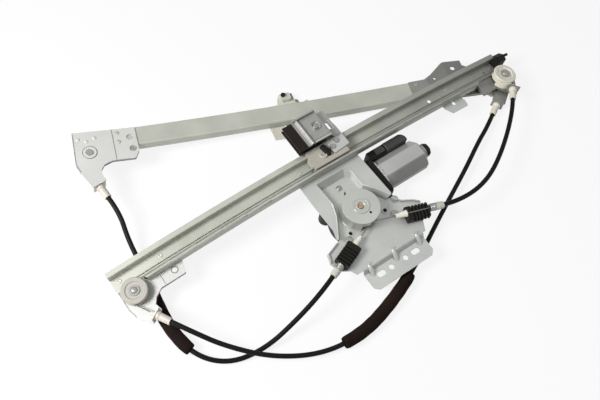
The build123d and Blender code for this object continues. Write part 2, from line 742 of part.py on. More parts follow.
with BuildPart() as drum_cables:
    for angle, level, start in outlets.values():
        with BuildSketch(outlet(angle, level, 3)):
            Circle(wire_radius)
        extrude(amount=start + retainer_length + spring_length + sleeve_length - 4)
keep(drum_cables, "drum_cables")

with BuildPart() as drive_screws:
    for x, y in drive_screw_places:
        with BuildSketch(Plane.XZ.offset(-y)):
            Polygon(
                (x, pocket_level - drive_screw_length),
                (x + drive_screw_radius, pocket_level - drive_screw_length),
                (x + drive_screw_radius, pocket_level), (x + 5, pocket_level), (x + 5, pocket_level + 1),
                (x + 3.6, pocket_level + 1.2), (x + 3.4, pocket_level + 3.4), (x, pocket_level + 3.8),
                align=None,
            )
        revolve(axis=Axis((x, y, 0), (0, 0, 1)))
keep(drive_screws, "drive_screws")

# Small parts of rail A: the mounting tab across it and the buffer at its upper end
tab_along = 212.0
tab_hole_radius = 2.8
stop_length = 13.0
stop_side = lip_wall - sheet / 2 - 0.2
stop_low = -2.5
tab_outline = [(-19, 9), (-19, -20), (-13, -31), (14, -31), (16, -22), (14, -19), (17, -15), (17, 9)]
with BuildPart() as rail_a_mount_tab:
    add(bowed_plate(on_rail_a(tab_along), rail_a_bow, tab_outline))
    drill([on_rail_a(tab_along - 2, -19)], tab_hole_radius)
keep(rail_a_mount_tab, "rail_a_mount_tab")
with BuildPart() as rail_a_end_stop:
    frame = on_rail_a(rail_a_end)
    with BuildSketch(section(frame)):
        Polygon(
            (stop_low, sheet + 0.2), (stop_side, sheet + 0.2), (stop_side, 13), (5, 16), (stop_low, 13),
            align=None,
        )
    extrude(amount=-4)
    with BuildSketch(section(frame)):
        Polygon(
            (stop_low, 0.2), (rail_a_half_width - 4, 0.2), (rail_a_half_width - 4, 12), (5, 17),
            (stop_low, 14), align=None,
        )
    extrude(amount=stop_length)
    fillet(rail_a_end_stop.faces().sort_by(Axis(frame.origin, frame.x_dir))[-1].edges(), radius=1)
    with BuildSketch(section(on_rail_a(rail_a_end + stop_length - 2, 5))):
        with Locations((0, 12)):
            Circle(2)
    extrude(amount=11)
keep(rail_a_end_stop, "rail_a_end_stop")

with BuildPart() as rail_rivets:
    for frame in rivet_frames:
        with BuildSketch(frame.offset(-sheet - rivet_fit)):
            Circle(rivet_radius - rivet_fit)
        extrude(amount=2 * (sheet + rivet_fit))
        for level, way in ((sheet + rivet_fit, 1), (-sheet - rivet_fit, -1)):
            with BuildSketch(frame.offset(level)):
                Circle(rivet_head_radius)
            extrude(amount=rivet_head_height * way, taper=30)
keep(rail_rivets, "rail_rivets")
with BuildPart() as plate_rivets:
    for x, y in plate_rivet_places[1:]:
        frame = on_rail_a(x, y - rail_a_y)
        with BuildSketch(frame.offset(sheet + rivet_fit)):
            Circle(rivet_head_radius)
        extrude(amount=rivet_head_height, taper=30)
        with BuildSketch(Plane.XY.offset(flange_level - sheet)):
            with Locations((x, y)):
                Circle(plate_rivet_radius - rivet_fit)
        extrude(amount=frame.offset(sheet + rivet_fit).origin.Z - flange_level + sheet)
        with BuildSketch(Plane.XY.offset(flange_level - sheet)):
            with Locations((x, y)):
                Circle(rivet_head_radius)
        extrude(amount=-rivet_head_height, taper=30)
    with BuildSketch(Plane.XY.offset(pocket_level - sheet)):
        with Locations(plate_rivet_places[0]):
            Circle(plate_rivet_radius)
    extrude(amount=sheet)
    with BuildSketch(Plane.XY.offset(pocket_level)):
        with Locations(plate_rivet_places[0]):
            Circle(rivet_head_radius)
    extrude(amount=rivet_head_height + 0.5, taper=30)
keep(plate_rivets, "plate_rivets")

# Slider A: a moulded shoe in the channel, a riveted carrier plate and the clamp for the glass
slider_a_along = 8.0
slider_b_along = 21.0
shoe_gap = 0.4
shoe_floor_gap = 1.4
shoe_base = sheet + shoe_floor_gap
shoe_half_length = 26.0
shoe_top = 14.2
carrier_thickness = 2.0
glass_slot = 5.0
pad_wall = 2.6
clamp_sheet = 1.8
clamp_low = 14.0
clamp_high = 54.0
slot_place = (22, 31)
carrier_rivet_places = [(10, 4), (19, 9)]
frame = on_rail_a(slider_a_along)
channel_low = bead_inner + sheet / 2 + shoe_gap
channel_high = lip_wall - sheet / 2 - shoe_gap
wire_across_a = pulley_offset_a + wire_turn
wire_across_b = pulley_offset_b + wire_turn
groove_half = 2.1
groove_top = wire_level + 2.3


def shoe_groove(across, length):
    """Cuts the groove that the cable runs in, along a slider's shoe."""
    with BuildSketch(section(frame)) as groove:
        with Locations((across, groove_top / 2)):
            Rectangle(2 * groove_half, groove_top)
    extrude(groove.sketch, amount=length, both=True, mode=Mode.SUBTRACT)


with BuildPart() as slider_a_body:
    with BuildSketch(section(frame)):
        with BuildLine():
            Polyline(
                (channel_low, shoe_base), (channel_high, shoe_base), (channel_high, rail_depth + shoe_gap),
                (rail_a_half_width + shoe_gap, rail_depth + shoe_gap),
                (rail_a_half_width + shoe_gap, rail_depth - sheet - shoe_gap),
                (rail_a_half_width - 3, rail_depth - sheet - shoe_gap),
                (rail_a_half_width - 3, rail_depth - 4.5), (rail_a_half_width + 3, rail_depth - 4.5),
                (rail_a_half_width + 3, shoe_top), (channel_low, shoe_top), close=True,
            )
        make_face()
    extrude(amount=shoe_half_length, both=True)
    shoe_groove(wire_across_a, shoe_half_length)
    chamfer(slider_a_body.edges().filter_by(Axis(frame.origin, frame.z_dir)), length=0.8)
keep(slider_a_body, "slider_a_body")

with BuildPart() as carrier_plate:
    with BuildSketch(frame.offset(shoe_top)) as plate:
        Polygon(
            (6, -5), (31, -3), (31, 26), (27, clamp_high), (-24, clamp_high), (-24, clamp_low - 1),
            (6, clamp_low - 1), align=None,
        )
        fillet(plate.vertices(), radius=2)
        with Locations(slot_place):
            SlotOverall(13, 4.4, rotation=90, mode=Mode.SUBTRACT)
        with Locations(*carrier_rivet_places, (3, 34)):
            Circle(rivet_radius, mode=Mode.SUBTRACT)
    extrude(amount=carrier_thickness)
keep(carrier_plate, "carrier_plate")

pad_base = shoe_top + carrier_thickness
pad_top = pad_base + 2 * pad_wall + glass_slot
pad_front = -34.0
pad_back = 7.0
with BuildPart() as glass_pad:
    with BuildSketch(along_section(frame)):
        Polygon(
            (pad_front, pad_base), (pad_back, pad_base), (pad_back, pad_top), (pad_front, pad_top),
            (pad_front, pad_top - pad_wall), (pad_back - 9, pad_top - pad_wall),
            (pad_back - 9, pad_base + pad_wall), (pad_front, pad_base + pad_wall), align=None,
        )
    extrude(amount=-clamp_high)
    with BuildSketch(along_section(frame)):
        with Locations((0, (pad_base + pad_top) / 2)):
            Rectangle(200, 2 * pad_top)
    extrude(amount=-clamp_low, mode=Mode.SUBTRACT)
    with BuildSketch(frame.offset(pad_base)):
        with Locations((3, 34)):
            Circle(rivet_radius)
    extrude(amount=pad_top - pad_base, mode=Mode.SUBTRACT)
keep(glass_pad, "glass_pad")

with BuildPart() as glass_clamp:
    low_edge = Plane(frame.from_local_coords(Vector(0, clamp_low, 0)), frame.x_dir, frame.z_dir)
    with BuildSketch(along_section(low_edge)):
        with BuildLine():
            FilletPolyline(
                (-21, pad_top + clamp_sheet / 2), (-17, pad_top + clamp_sheet / 2),
                (-14, pad_top + clamp_sheet + 2.4), (-11, pad_top + clamp_sheet / 2),
                (14, pad_top + clamp_sheet / 2), (19, pad_base + clamp_sheet / 2),
                (29, pad_base + clamp_sheet / 2), radius=1.2,
            )
        trace(line_width=clamp_sheet)
    extrude(amount=-(clamp_high - clamp_low))
    with BuildSketch(frame.offset(pad_top)):
        with Locations((-3, clamp_high - clamp_sheet / 2)):
            Rectangle(33, clamp_sheet)
    extrude(amount=6)
    with BuildSketch(frame.offset(pad_base)):
        with Locations(slot_place):
            SlotOverall(13, 4.4, rotation=90)
        with Locations((3, 34)):
            Circle(rivet_radius)
    extrude(amount=pad_top, mode=Mode.SUBTRACT)
keep(glass_clamp, "glass_clamp")

with BuildPart() as clamp_screw:
    screw_place = Plane(frame.from_local_coords(Vector(3, 34, 0)), frame.x_dir, frame.z_dir)
    with BuildSketch(along_section(screw_place)):
        head = pad_top + clamp_sheet
        Polygon(
            (0, pad_base - carrier_thickness), (rivet_radius, pad_base - carrier_thickness),
            (rivet_radius, head), (4.2, head), (4.2, head + 1.2), (3.2, head + 2.2), (0, head + 2.4),
            align=None,
        )
    revolve(axis=Axis(frame.from_local_coords(Vector(3, 34, 0)), frame.z_dir))
keep(clamp_screw, "clamp_screw")

with BuildPart() as carrier_rivets:
    for x, y in carrier_rivet_places:
        with BuildSketch(frame.offset(shoe_top)):
            with Locations((x, y)):
                Circle(rivet_radius)
        extrude(amount=carrier_thickness)
        with BuildSketch(frame.offset(pad_base)):
            with Locations((x, y)):
                Circle(rivet_head_radius)
        extrude(amount=rivet_head_height + 0.6, taper=25)
keep(carrier_rivets, "carrier_rivets")

with BuildPart() as slider_a_buffer:
    with BuildSketch(frame.offset(shoe_top)) as finger:
        Polygon((-5.4, 11.5), (0.5, 12.2), (3.6, 1), (1.5, -4), (-3, -4), (-4, 2), align=None)
        fillet(finger.vertices(), radius=1.2)
    extrude(amount=5)
    fillet(slider_a_buffer.faces().sort_by(Axis(frame.origin, frame.z_dir))[-1].edges(), radius=1)
keep(slider_a_buffer, "slider_a_buffer")


def cable_nipples(across):
    """The two crimped ends by which a slider hangs on its cable."""
    with BuildPart() as nipples:
        for place in (-19, 19):
            spot = frame.from_local_coords(Vector(place, across, wire_level))
            with BuildSketch(Plane(origin=spot, x_dir=frame.y_dir, z_dir=frame.x_dir)):
                Circle(1.8)
                Circle(wire_radius + groove_gap + running_gap, mode=Mode.SUBTRACT)
            extrude(amount=3.5, both=True)
    return nipples


keep(cable_nipples(wire_across_a), "cable_nipples_a")

# Slider B: a moulded shoe with its flanges, and the jaw that holds the second edge of the glass
frame = on_rail_b(slider_b_along)
shoe_b_half_width = rail_b_half_width - sheet - shoe_gap
flange_low = rail_depth + shoe_gap
flange_high = 13.6
jaw_slot = 5.2
jaw_bottom = flange_high + jaw_slot
jaw_sheet = 1.3
with BuildPart() as slider_b_body:
    with BuildSketch(section(frame)):
        with Locations((0, (shoe_base + flange_high) / 2)):
            Rectangle(2 * shoe_b_half_width, flange_high - shoe_base)
    extrude(amount=30, both=True)
    with BuildSketch(frame.offset(flange_low)):
        Polygon(
            (33, 20), (33, 8), (33, -10), (30, -32), (14, -32), (12, -8), (-30, -8), (-30, 19), (-13, 21),
            (-11, 37), (7, 37), (11, 30), (13, 21), align=None,
        )
    extrude(amount=flange_high - flange_low)
    with BuildSketch(frame.offset(flange_low)):
        with Locations((0, 30)):
            RectangleRounded(15, 12, 3)
        with Locations((-27, 18)):
            Rectangle(5, 3)
    extrude(amount=-5, taper=6)
    with BuildSketch(frame.offset(flange_high)):
        with Locations((3, 32)):
            Circle(3)
    extrude(amount=-10, mode=Mode.SUBTRACT)
    shoe_groove(wire_across_b, 30)
keep(slider_b_body, "slider_b_body")
with BuildPart() as slider_b_plug:
    with BuildSketch(frame.offset(flange_high)):
        with Locations((3, 32)):
            Circle(3)
    extrude(amount=-8.5)
keep(slider_b_plug, "slider_b_plug")
with BuildPart() as slider_b_jaw:
    with BuildSketch(frame.offset(jaw_bottom)) as plate:
        Polygon((8, 30), (-20, 30), (-20, -28), (8, -28), align=None)
        fillet(plate.vertices(), radius=4)
    extrude(amount=jaw_sheet)
    with BuildSketch(frame.offset(flange_high)):
        with Locations((-18, 0)):
            Rectangle(4, 32)
    extrude(amount=jaw_slot)
keep(slider_b_jaw, "slider_b_jaw")
keep(cable_nipples(wire_across_b), "cable_nipples_b")

# Conduits, each from one moulded end to another, and the foam sleeves on two of them
exit_run = 24.0


def rail_end_route(end):
    """The last two points of a conduit, in line with its moulded end."""
    reach = end_frames[end][3] + ferrule_length
    return [cable_exit(end, reach + exit_run).origin, cable_exit(end, reach).origin]


def drum_end_route(side):
    """The first two points of a conduit, in line with its outlet."""
    angle, level, start = outlets[side]
    reach = start + retainer_length + spring_length + sleeve_length
    return [outlet(angle, level, reach).origin, outlet(angle, level, reach + exit_run).origin]


conduit_1 = [*drum_end_route("right"), Vector(163, -56, 38), Vector(214, -32, 34), *rail_end_route("a_upper")]
conduit_2 = [
    *reversed(rail_end_route("a_lower")), Vector(-226, -48, 22), Vector(-186, -88, 14), Vector(-134, -116, 9),
    Vector(-80, -122, 8.6), Vector(-28, -110, 8.6), Vector(25, -90, 8.6), Vector(75, -64, 8.8),
    Vector(125, -40, 10), Vector(170, -19, 11), Vector(212, 3, 11), *rail_end_route("b_upper"),
]
conduit_3 = [
    *drum_end_route("left"), Vector(-140, -68, 23), Vector(-185, -73, 8), Vector(-228, -65, 4.4),
    Vector(-257, -38, 8.6), Vector(-266, 6, 8.6), Vector(-261, 52, 8.8), Vector(-254, 92, 11),
    Vector(-251, 127, 19), *rail_end_route("b_lower"),
]


def cord_radii(points):
    """Arcs for a cord's corners: 0.45 of the shorter run, over the tangent of half the turn."""
    runs = [after - before for before, after in zip(points, points[1:])]
    return [
        0.45 * min(run.length, following.length) / tan(radians(run.get_angle(following)) / 2)
        for run, following in zip(runs, runs[1:])
    ]


def tube(points, radii, outer, inner=0.0):
    """A tube along straight runs joined by tangent arcs."""
    with BuildPart() as part:
        with BuildLine() as route:
            FilletPolyline(*points, radius=radii)
        with BuildSketch(Plane(origin=points[0], z_dir=points[1] - points[0])):
            Circle(outer)
            if inner:
                Circle(inner, mode=Mode.SUBTRACT)
        sweep(path=route.wires()[0])
    length = route.wires()[0].length
    section_area = pi * (outer ** 2 - inner ** 2)
    share = part.part.volume / (section_area * length)
    print(f"length {length:.1f}, volume over section times length {share:.4f}")
    return part


for name, points in (("conduit_1", conduit_1), ("conduit_2", conduit_2), ("conduit_3", conduit_3)):
    radii = cord_radii(points)
    runs = [round((b - a).length) for a, b in zip(points, points[1:])]
    print(name, "radii", [round(radius) for radius in radii], "runs", runs)
    keep(tube(points, radii, conduit_radius), name)


def foam_sleeve(points, first, last, lead, tail):
    """Foam on a conduit from partway along one run to partway along another."""
    radii = cord_radii(points)[first:last]
    start = points[first] + (points[first + 1] - points[first]) * lead
    stop = points[last] + (points[last + 1] - points[last]) * tail
    return tube([start, *points[first + 1:last + 1], stop], radii, foam_radius, conduit_radius)


keep(foam_sleeve(conduit_2, 4, 6, 0.5, 0.75), "foam_sleeve_upper")
keep(foam_sleeve(conduit_3, 5, 7, 0.25, 0.55), "foam_sleeve_lower")
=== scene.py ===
"""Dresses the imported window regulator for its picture: finishes, cords, springs and pressed details."""

import logging
import math
from collections.abc import Callable
from dataclasses import dataclass, field, replace
from enum import Enum
from typing import ClassVar

import bmesh
import bpy
from mathutils import Matrix, Vector

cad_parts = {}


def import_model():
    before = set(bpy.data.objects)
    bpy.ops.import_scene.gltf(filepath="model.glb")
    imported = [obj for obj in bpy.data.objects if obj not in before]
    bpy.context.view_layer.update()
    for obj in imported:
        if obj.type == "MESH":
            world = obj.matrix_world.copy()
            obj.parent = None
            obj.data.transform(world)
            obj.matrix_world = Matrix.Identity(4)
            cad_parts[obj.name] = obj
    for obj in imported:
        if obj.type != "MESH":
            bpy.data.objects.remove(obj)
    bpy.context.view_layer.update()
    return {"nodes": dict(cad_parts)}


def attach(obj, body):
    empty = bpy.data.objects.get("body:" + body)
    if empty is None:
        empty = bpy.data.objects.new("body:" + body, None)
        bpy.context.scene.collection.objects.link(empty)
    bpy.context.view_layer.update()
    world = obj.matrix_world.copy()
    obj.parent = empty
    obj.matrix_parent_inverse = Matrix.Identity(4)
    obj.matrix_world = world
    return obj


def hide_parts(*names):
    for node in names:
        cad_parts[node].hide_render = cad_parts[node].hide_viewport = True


LOG = logging.getLogger("window_regulator")
MM = 0.001
UP = Vector((0, 0, 1))
FLIP = Matrix.Rotation(math.pi, 4, "X")
SHEET = 1.5
EDGE_SHARE = 0.28
SHARPEST_TURN = 0.4
Pair = tuple[float, float]
Point = tuple[float, float, float]
Colour = tuple[float, float, float]
Path = list[Pair]
Spot = Callable[[float, float, float], Vector]


def feed(tree: bpy.types.NodeTree, node: bpy.types.Node, inputs: dict[str | int, object]) -> None:
    """Sets a node's inputs to values, or links them where a socket is given.

    Args:
        tree: The node tree.
        node: The node.
        inputs: The value or the socket for each input, by the input's name or number.
    """
    for key, value in inputs.items():
        if isinstance(value, bpy.types.NodeSocket):
            tree.links.new(value, node.inputs[key])
        else:
            node.inputs[key].default_value = value


def add_node(tree: bpy.types.NodeTree, kind: str, inputs: dict[str | int, object] | None = None,
             **settings: str) -> bpy.types.Node:
    """Adds a node to a tree.

    Args:
        tree: The node tree.
        kind: The node's type.
        inputs: The value or the socket for each input, by the input's name or number.
        **settings: The node's other settings, which come first because they can change its inputs.

    Returns:
        The node.
    """
    node = tree.nodes.new(kind)
    for name, value in settings.items():
        setattr(node, name, value)
    feed(tree, node, inputs or {})
    return node


class Surface(Enum):
    """The kinds of surface that the regulator's pieces have."""

    ROLLED = "rolled sheet, with fine lines along it"
    TURNED = "turned metal, with rings round its axis"
    MOULDED = "moulded plastic, with a fine grain"
    SPONGE = "open-cell foam"
    STRANDED = "twisted wire strands"


@dataclass(frozen=True)
class Finish:
    """One finish: its colour, a second colour it wanders to, and how its surface is worked.

    Patches and grain are in cells per metre, and depths in metres.
    """

    patches: ClassVar[float] = 22.0
    patch_edges: ClassVar[Pair] = (0.32, 0.68)
    spread: ClassVar[float] = 0.09
    relief_depth: ClassVar[float] = 0.0006
    glow_depth: ClassVar[float] = 0.004
    # painted shade: the stretch along x over which a rail darkens, and the dark colour it darkens to
    painted_shade_span: ClassVar[Pair] = (-0.05, 0.28)
    painted_shade_colour: ClassVar[tuple[float, float, float, float]] = (0.10, 0.10, 0.095, 1.0)
    ring_waver: ClassVar[float] = 0.6
    rolling_stretch: ClassVar[Point] = (0.05, 1.0, 1.0)

    name: str
    colour: Colour
    second: Colour
    surface: Surface
    roughness: float
    metallic: float = 0.0
    grain: float = 260.0
    relief: float = 0.05
    subsurface: float = 0.0
    specular: float = 0.5
    # painted shade: how far the colour darkens towards the upper end along x
    painted_shade_amount: float = 0.0

    def material(self) -> bpy.types.Material:
        """Makes the finish's material, or returns the one made before.

        Returns:
            The material.
        """
        label = f"{self.name}_finish"
        found = bpy.data.materials.get(label)
        if found:
            return found
        material = bpy.data.materials.new(label)
        material.use_nodes = True
        tree = material.node_tree
        place = add_node(tree, "ShaderNodeTexCoord").outputs["Object"]
        fine = self._fine_pattern(tree, place)
        rough = add_node(tree, "ShaderNodeMapRange", {
            "Value": fine, "To Min": self.roughness - self.spread,
            "To Max": min(1.0, self.roughness + self.spread)})
        bump = add_node(tree, "ShaderNodeBump", {
            "Strength": self.relief, "Distance": self.relief_depth, "Height": fine})
        feed(tree, tree.nodes["Principled BSDF"], {
            "Base Color": self._colour(tree, place), "Roughness": rough.outputs["Result"],
            "Normal": bump.outputs["Normal"], "Metallic": self.metallic, "Specular IOR Level": self.specular,
            "Subsurface Weight": self.subsurface, "Subsurface Scale": self.glow_depth})
        return material

    def _colour(self, tree: bpy.types.NodeTree, place: bpy.types.NodeSocket) -> bpy.types.NodeSocket:
        """Mixes both colours in soft patches, and paints shade on a long rail, darkening it towards its upper
        end along x.

        Args:
            tree: The material's node tree.
            place: The socket of the object's own coordinates.

        Returns:
            The socket of the colour.
        """
        noise = add_node(tree, "ShaderNodeTexNoise", {"Scale": self.patches, "Detail": 4.0, "Vector": place})
        blend = add_node(tree, "ShaderNodeValToRGB", {"Fac": noise.outputs["Fac"]})
        for end, edge, colour in zip(blend.color_ramp.elements, self.patch_edges, (self.colour, self.second)):
            end.position, end.color = edge, (*colour, 1.0)
        if self.painted_shade_amount == 0:
            return blend.outputs["Color"]
        along = add_node(tree, "ShaderNodeSeparateXYZ", {"Vector": place}).outputs["X"]
        first, last = self.painted_shade_span
        share = add_node(tree, "ShaderNodeMapRange", {
            "Value": along, "From Min": first, "From Max": last, "To Max": self.painted_shade_amount})
        mix = add_node(tree, "ShaderNodeMix", {
            "Factor": share.outputs["Result"], "A": blend.outputs["Color"], "B": self.painted_shade_colour,
        }, data_type="RGBA")
        return mix.outputs["Result"]

    def _fine_pattern(self, tree: bpy.types.NodeTree, place: bpy.types.NodeSocket) -> bpy.types.NodeSocket:
        """Adds the small relief that belongs to the surface.

        Args:
            tree: The material's node tree.
            place: The socket of the object's own coordinates.

        Returns:
            The socket of the pattern's height.
        """
        cells = {"Scale": self.grain, "Vector": place}
        if self.surface is Surface.SPONGE:
            return add_node(tree, "ShaderNodeTexVoronoi", cells).outputs["Distance"]
        if self.surface is Surface.STRANDED:
            return add_node(tree, "ShaderNodeTexWave", cells, bands_direction="DIAGONAL").outputs["Fac"]
        if self.surface is Surface.TURNED:
            rings = {"wave_type": "RINGS", "rings_direction": "Z"}
            return add_node(tree, "ShaderNodeTexWave", cells | {"Distortion": self.ring_waver},
                            **rings).outputs["Fac"]
        scale, detail = 3 * self.grain, 2.0
        if self.surface is Surface.ROLLED:
            scale, detail = 4 * self.grain, 3.0
            stretch = add_node(tree, "ShaderNodeMapping", {"Vector": place, "Scale": self.rolling_stretch})
            place = stretch.outputs["Vector"]
        noise = add_node(tree, "ShaderNodeTexNoise", {"Scale": scale, "Detail": detail, "Vector": place})
        return noise.outputs["Fac"]


ROLLED, TURNED, MOULDED = Surface.ROLLED, Surface.TURNED, Surface.MOULDED
ZINC_RAIL = Finish("zinc_rail", (0.50, 0.51, 0.445), (0.41, 0.42, 0.365), ROLLED, 0.44, 0.3)
# rail A's zinc with painted shade, darker towards its upper end; the rivets wear it too
RAIL_PAINTED_SHADE = replace(ZINC_RAIL, name="zinc_long_rail_painted_shade", painted_shade_amount=0.5)
# a lighter copy of the bracket steel: painted light on the lower brackets, their beads and the pressed ring
PAINTED_LIGHT_BRACKET = Finish("painted_light_bracket", (0.61, 0.61, 0.585), (0.55, 0.55, 0.525), ROLLED, 0.5, 0.15)
# a dark copy of the bracket steel: painted shade on rims, edge lines, step lines and rings
PAINTED_SHADE_BRACKET = Finish("painted_shade_bracket", (0.24, 0.24, 0.225), (0.18, 0.18, 0.17), ROLLED, 0.45, 0.4)
PLATE_STEEL = Finish("plate_steel", (0.52, 0.53, 0.505), (0.45, 0.46, 0.44), ROLLED, 0.42, 0.4)
CLAMP_STEEL = Finish("clamp_steel", (0.36, 0.36, 0.34), (0.29, 0.29, 0.275), ROLLED, 0.36, 0.5)
# a darker copy of the bracket steel: painted shade on the two upper brackets
PAINTED_SHADE_UPPER_BRACKET = Finish("upper_bracket_painted_shade", (0.27, 0.27, 0.25), (0.21, 0.21, 0.195), ROLLED, 0.42, 0.5)
# a still darker copy of the bracket steel: painted shade on the raised pressing
PRESSING_PAINTED_SHADE = Finish("pressing_painted_shade", (0.19, 0.19, 0.18), (0.15, 0.15, 0.14), ROLLED, 0.42, 0.45)
RIVET_STEEL = Finish("rivet_steel", (0.34, 0.34, 0.32), (0.26, 0.26, 0.25), MOULDED, 0.34, 0.7)
CAN_STEEL = Finish("can_steel", (0.47, 0.47, 0.455), (0.41, 0.41, 0.40), ROLLED, 0.36, 0.25)
# a darker copy of the can's steel: painted shade for the facets facing -y
CAN_PAINTED_SHADE = Finish("can_steel_painted_shade", (0.27, 0.27, 0.255), (0.20, 0.20, 0.19), ROLLED, 0.36, 0.35)
COVER_ALLOY = Finish("cover_alloy", (0.50, 0.51, 0.475), (0.44, 0.45, 0.42), TURNED, 0.36, 0.55, grain=900.0)
BRONZE = Finish("bronze_bush", (0.46, 0.29, 0.17), (0.34, 0.22, 0.14), TURNED, 0.38, 0.8)
WIRE = Finish("cable_strand", (0.22, 0.22, 0.20), (0.15, 0.15, 0.14), Surface.STRANDED, 0.40, 0.8,
              grain=900.0, relief=0.4)
CREAM = Finish("cream_plastic", (0.46, 0.435, 0.37), (0.42, 0.395, 0.34), MOULDED, 0.42, subsurface=0.1)
GREYED_CREAM = Finish("greyed_cream", (0.43, 0.41, 0.365), (0.39, 0.37, 0.33), MOULDED, 0.44, subsurface=0.1)
FERRULE = Finish("ferrule_plastic", (0.61, 0.56, 0.50), (0.56, 0.51, 0.455), MOULDED, 0.40, subsurface=0.15)
BRIGHT_CREAM = Finish("bright_cream", (0.86, 0.82, 0.70), (0.80, 0.75, 0.63), MOULDED, 0.38, subsurface=0.2)
WAX_WHITE = Finish("wax_white_plastic", (0.60, 0.60, 0.52), (0.54, 0.54, 0.46), MOULDED, 0.36, subsurface=0.2)
BLACK = Finish("black_plastic", (0.008, 0.008, 0.007), (0.013, 0.012, 0.011), MOULDED, 0.42, specular=0.12)
GREY = Finish("grey_plastic", (0.050, 0.050, 0.047), (0.038, 0.038, 0.036), MOULDED, 0.5, specular=0.3)
RUBBER = Finish("black_rubber", (0.012, 0.010, 0.008), (0.018, 0.015, 0.012), MOULDED, 0.55, specular=0.1)
SHEATH = Finish("black_sheath", (0.005, 0.005, 0.005), (0.008, 0.008, 0.007), MOULDED, 0.38, specular=0.08)
FOAM = Finish("brown_foam", (0.022, 0.014, 0.011), (0.012, 0.008, 0.007), Surface.SPONGE, 0.95,
              grain=900.0, relief=0.9, specular=0.05)

WEARERS: dict[Finish, tuple[str, ...]] = {
    RAIL_PAINTED_SHADE: ("rail_a",),
    ZINC_RAIL: ("rail_b",),
    PAINTED_LIGHT_BRACKET: ("rail_a_lower_bracket", "rail_b_lower_bracket"),
    PAINTED_SHADE_UPPER_BRACKET: ("rail_a_upper_bracket", "rail_b_upper_bracket"),
    PLATE_STEEL: ("rail_a_mount_tab", "drive_plate", "carrier_plate"),
    CLAMP_STEEL: ("glass_clamp",),
    CAN_STEEL: ("motor_can",),
    COVER_ALLOY: ("drum_cover",),
    BRONZE: ("output_shaft",),
    RIVET_STEEL: ("rail_rivets", "plate_rivets", "pulley_rivets", "drive_screws", "clamp_screw",
                  "carrier_rivets", "cable_nipples_a", "cable_nipples_b", "outlet_spring_left",
                  "outlet_spring_right"),
    WIRE: ("cable_rail_a", "cable_rail_b", "drum_cables"),
    CREAM: ("worm_wheel", "slider_a_body"),
    GREYED_CREAM: ("pulley_a_lower", "pulley_b_lower"),
    FERRULE: ("conduit_end_a_lower", "conduit_end_b_lower"),
    BRIGHT_CREAM: ("pulley_a_upper", "pulley_b_upper", "conduit_end_a_upper", "conduit_end_b_upper",
                   "outlet_guide_left", "outlet_guide_right"),
    WAX_WHITE: ("slider_b_body", "slider_b_jaw", "outlet_sleeve_left", "outlet_sleeve_right"),
    BLACK: ("cable_drum", "gearbox_housing", "gearbox_cover", "motor_bearing_cap", "connector_socket",
            "outlet_retainer_left", "outlet_retainer_right"),
    GREY: ("electronics_housing", "connector_latch"),
    RUBBER: ("rail_a_end_stop", "glass_pad", "slider_a_buffer", "slider_b_plug"),
    SHEATH: ("conduit_1", "conduit_2", "conduit_3"),
    FOAM: ("foam_sleeve_upper", "foam_sleeve_lower"),
}


def add_object(name: str, data: bpy.types.ID) -> bpy.types.Object:
    """Makes an object of some data and links it to the scene.

    Args:
        name: The object's name.
        data: Its mesh, curve, lamp or camera.

    Returns:
        The object.
    """
    piece = bpy.data.objects.new(name, data)
    bpy.context.scene.collection.objects.link(piece)
    return piece


def new_mesh_object(name: str, verts: list[Vector], faces: list[list[int]],
                    finish: Finish) -> bpy.types.Object:
    """Makes a mesh object with one finish, its place in its mesh.

    Args:
        name: The piece's name.
        verts: Its corners, in metres.
        faces: Its faces, as indices of corners.
        finish: Its finish.

    Returns:
        The object.
    """
    mesh = bpy.data.meshes.new(name)
    mesh.from_pydata([tuple(vert) for vert in verts], [], faces)
    mesh.materials.append(finish.material())
    mesh.validate()
    mesh.update()
    return add_object(name, mesh)


def new_curve(name: str, kind: str, points: list[Point], radius: float = 0.0,
              fineness: int = 0) -> bpy.types.Object:
    """Makes a curve through points, with a round section where it has a radius.

    Args:
        name: The curve's name.
        kind: NURBS for a smooth line, POLY for a bent one.
        points: Its points in millimetres.
        radius: Its section's radius in millimetres.
        fineness: How finely the section is rounded.

    Returns:
        The curve object.
    """
    line = bpy.data.curves.new(name, "CURVE")
    line.dimensions, line.resolution_u = "3D", 16
    line.bevel_depth, line.bevel_resolution, line.use_fill_caps = radius * MM, fineness, radius > 0
    spline = line.splines.new(kind)
    spline.points.add(len(points) - 1)
    for knot, point in zip(spline.points, points):
        knot.co = (*(value * MM for value in point), 1.0)
    spline.order_u, spline.use_endpoint_u = 3, True
    return add_object(name, line)


def evaluated_mesh(piece: bpy.types.Object) -> bpy.types.Mesh:
    """Makes a mesh of an object as it stands, with its modifiers."""
    return bpy.data.meshes.new_from_object(piece.evaluated_get(bpy.context.evaluated_depsgraph_get()))


def bake(piece: bpy.types.Object, modifier: bpy.types.Modifier) -> None:
    """Turns what a modifier makes into the piece's own plain mesh.

    Args:
        piece: The mesh object.
        modifier: Its only modifier, which is removed.
    """
    mesh = evaluated_mesh(piece)
    piece.modifiers.remove(modifier)
    piece.data = mesh


def smooth(piece: bpy.types.Object) -> None:
    """Shades every face of a mesh smooth."""
    piece.data.polygons.foreach_set("use_smooth", [True] * len(piece.data.polygons))


def close_up(piece: bpy.types.Object, rounding: float = 0.0) -> None:
    """Rounds a mesh's edges where that is asked for, and turns every face outwards.

    Args:
        piece: The mesh object.
        rounding: The edges' rounding in millimetres.
    """
    work = bmesh.new()
    work.from_mesh(piece.data)
    if rounding:
        bmesh.ops.bevel(work, geom=list(work.edges), offset=rounding * MM, segments=2, profile=0.5,
                        affect="EDGES")
    bmesh.ops.recalc_face_normals(work, faces=work.faces)
    work.to_mesh(piece.data)
    work.free()


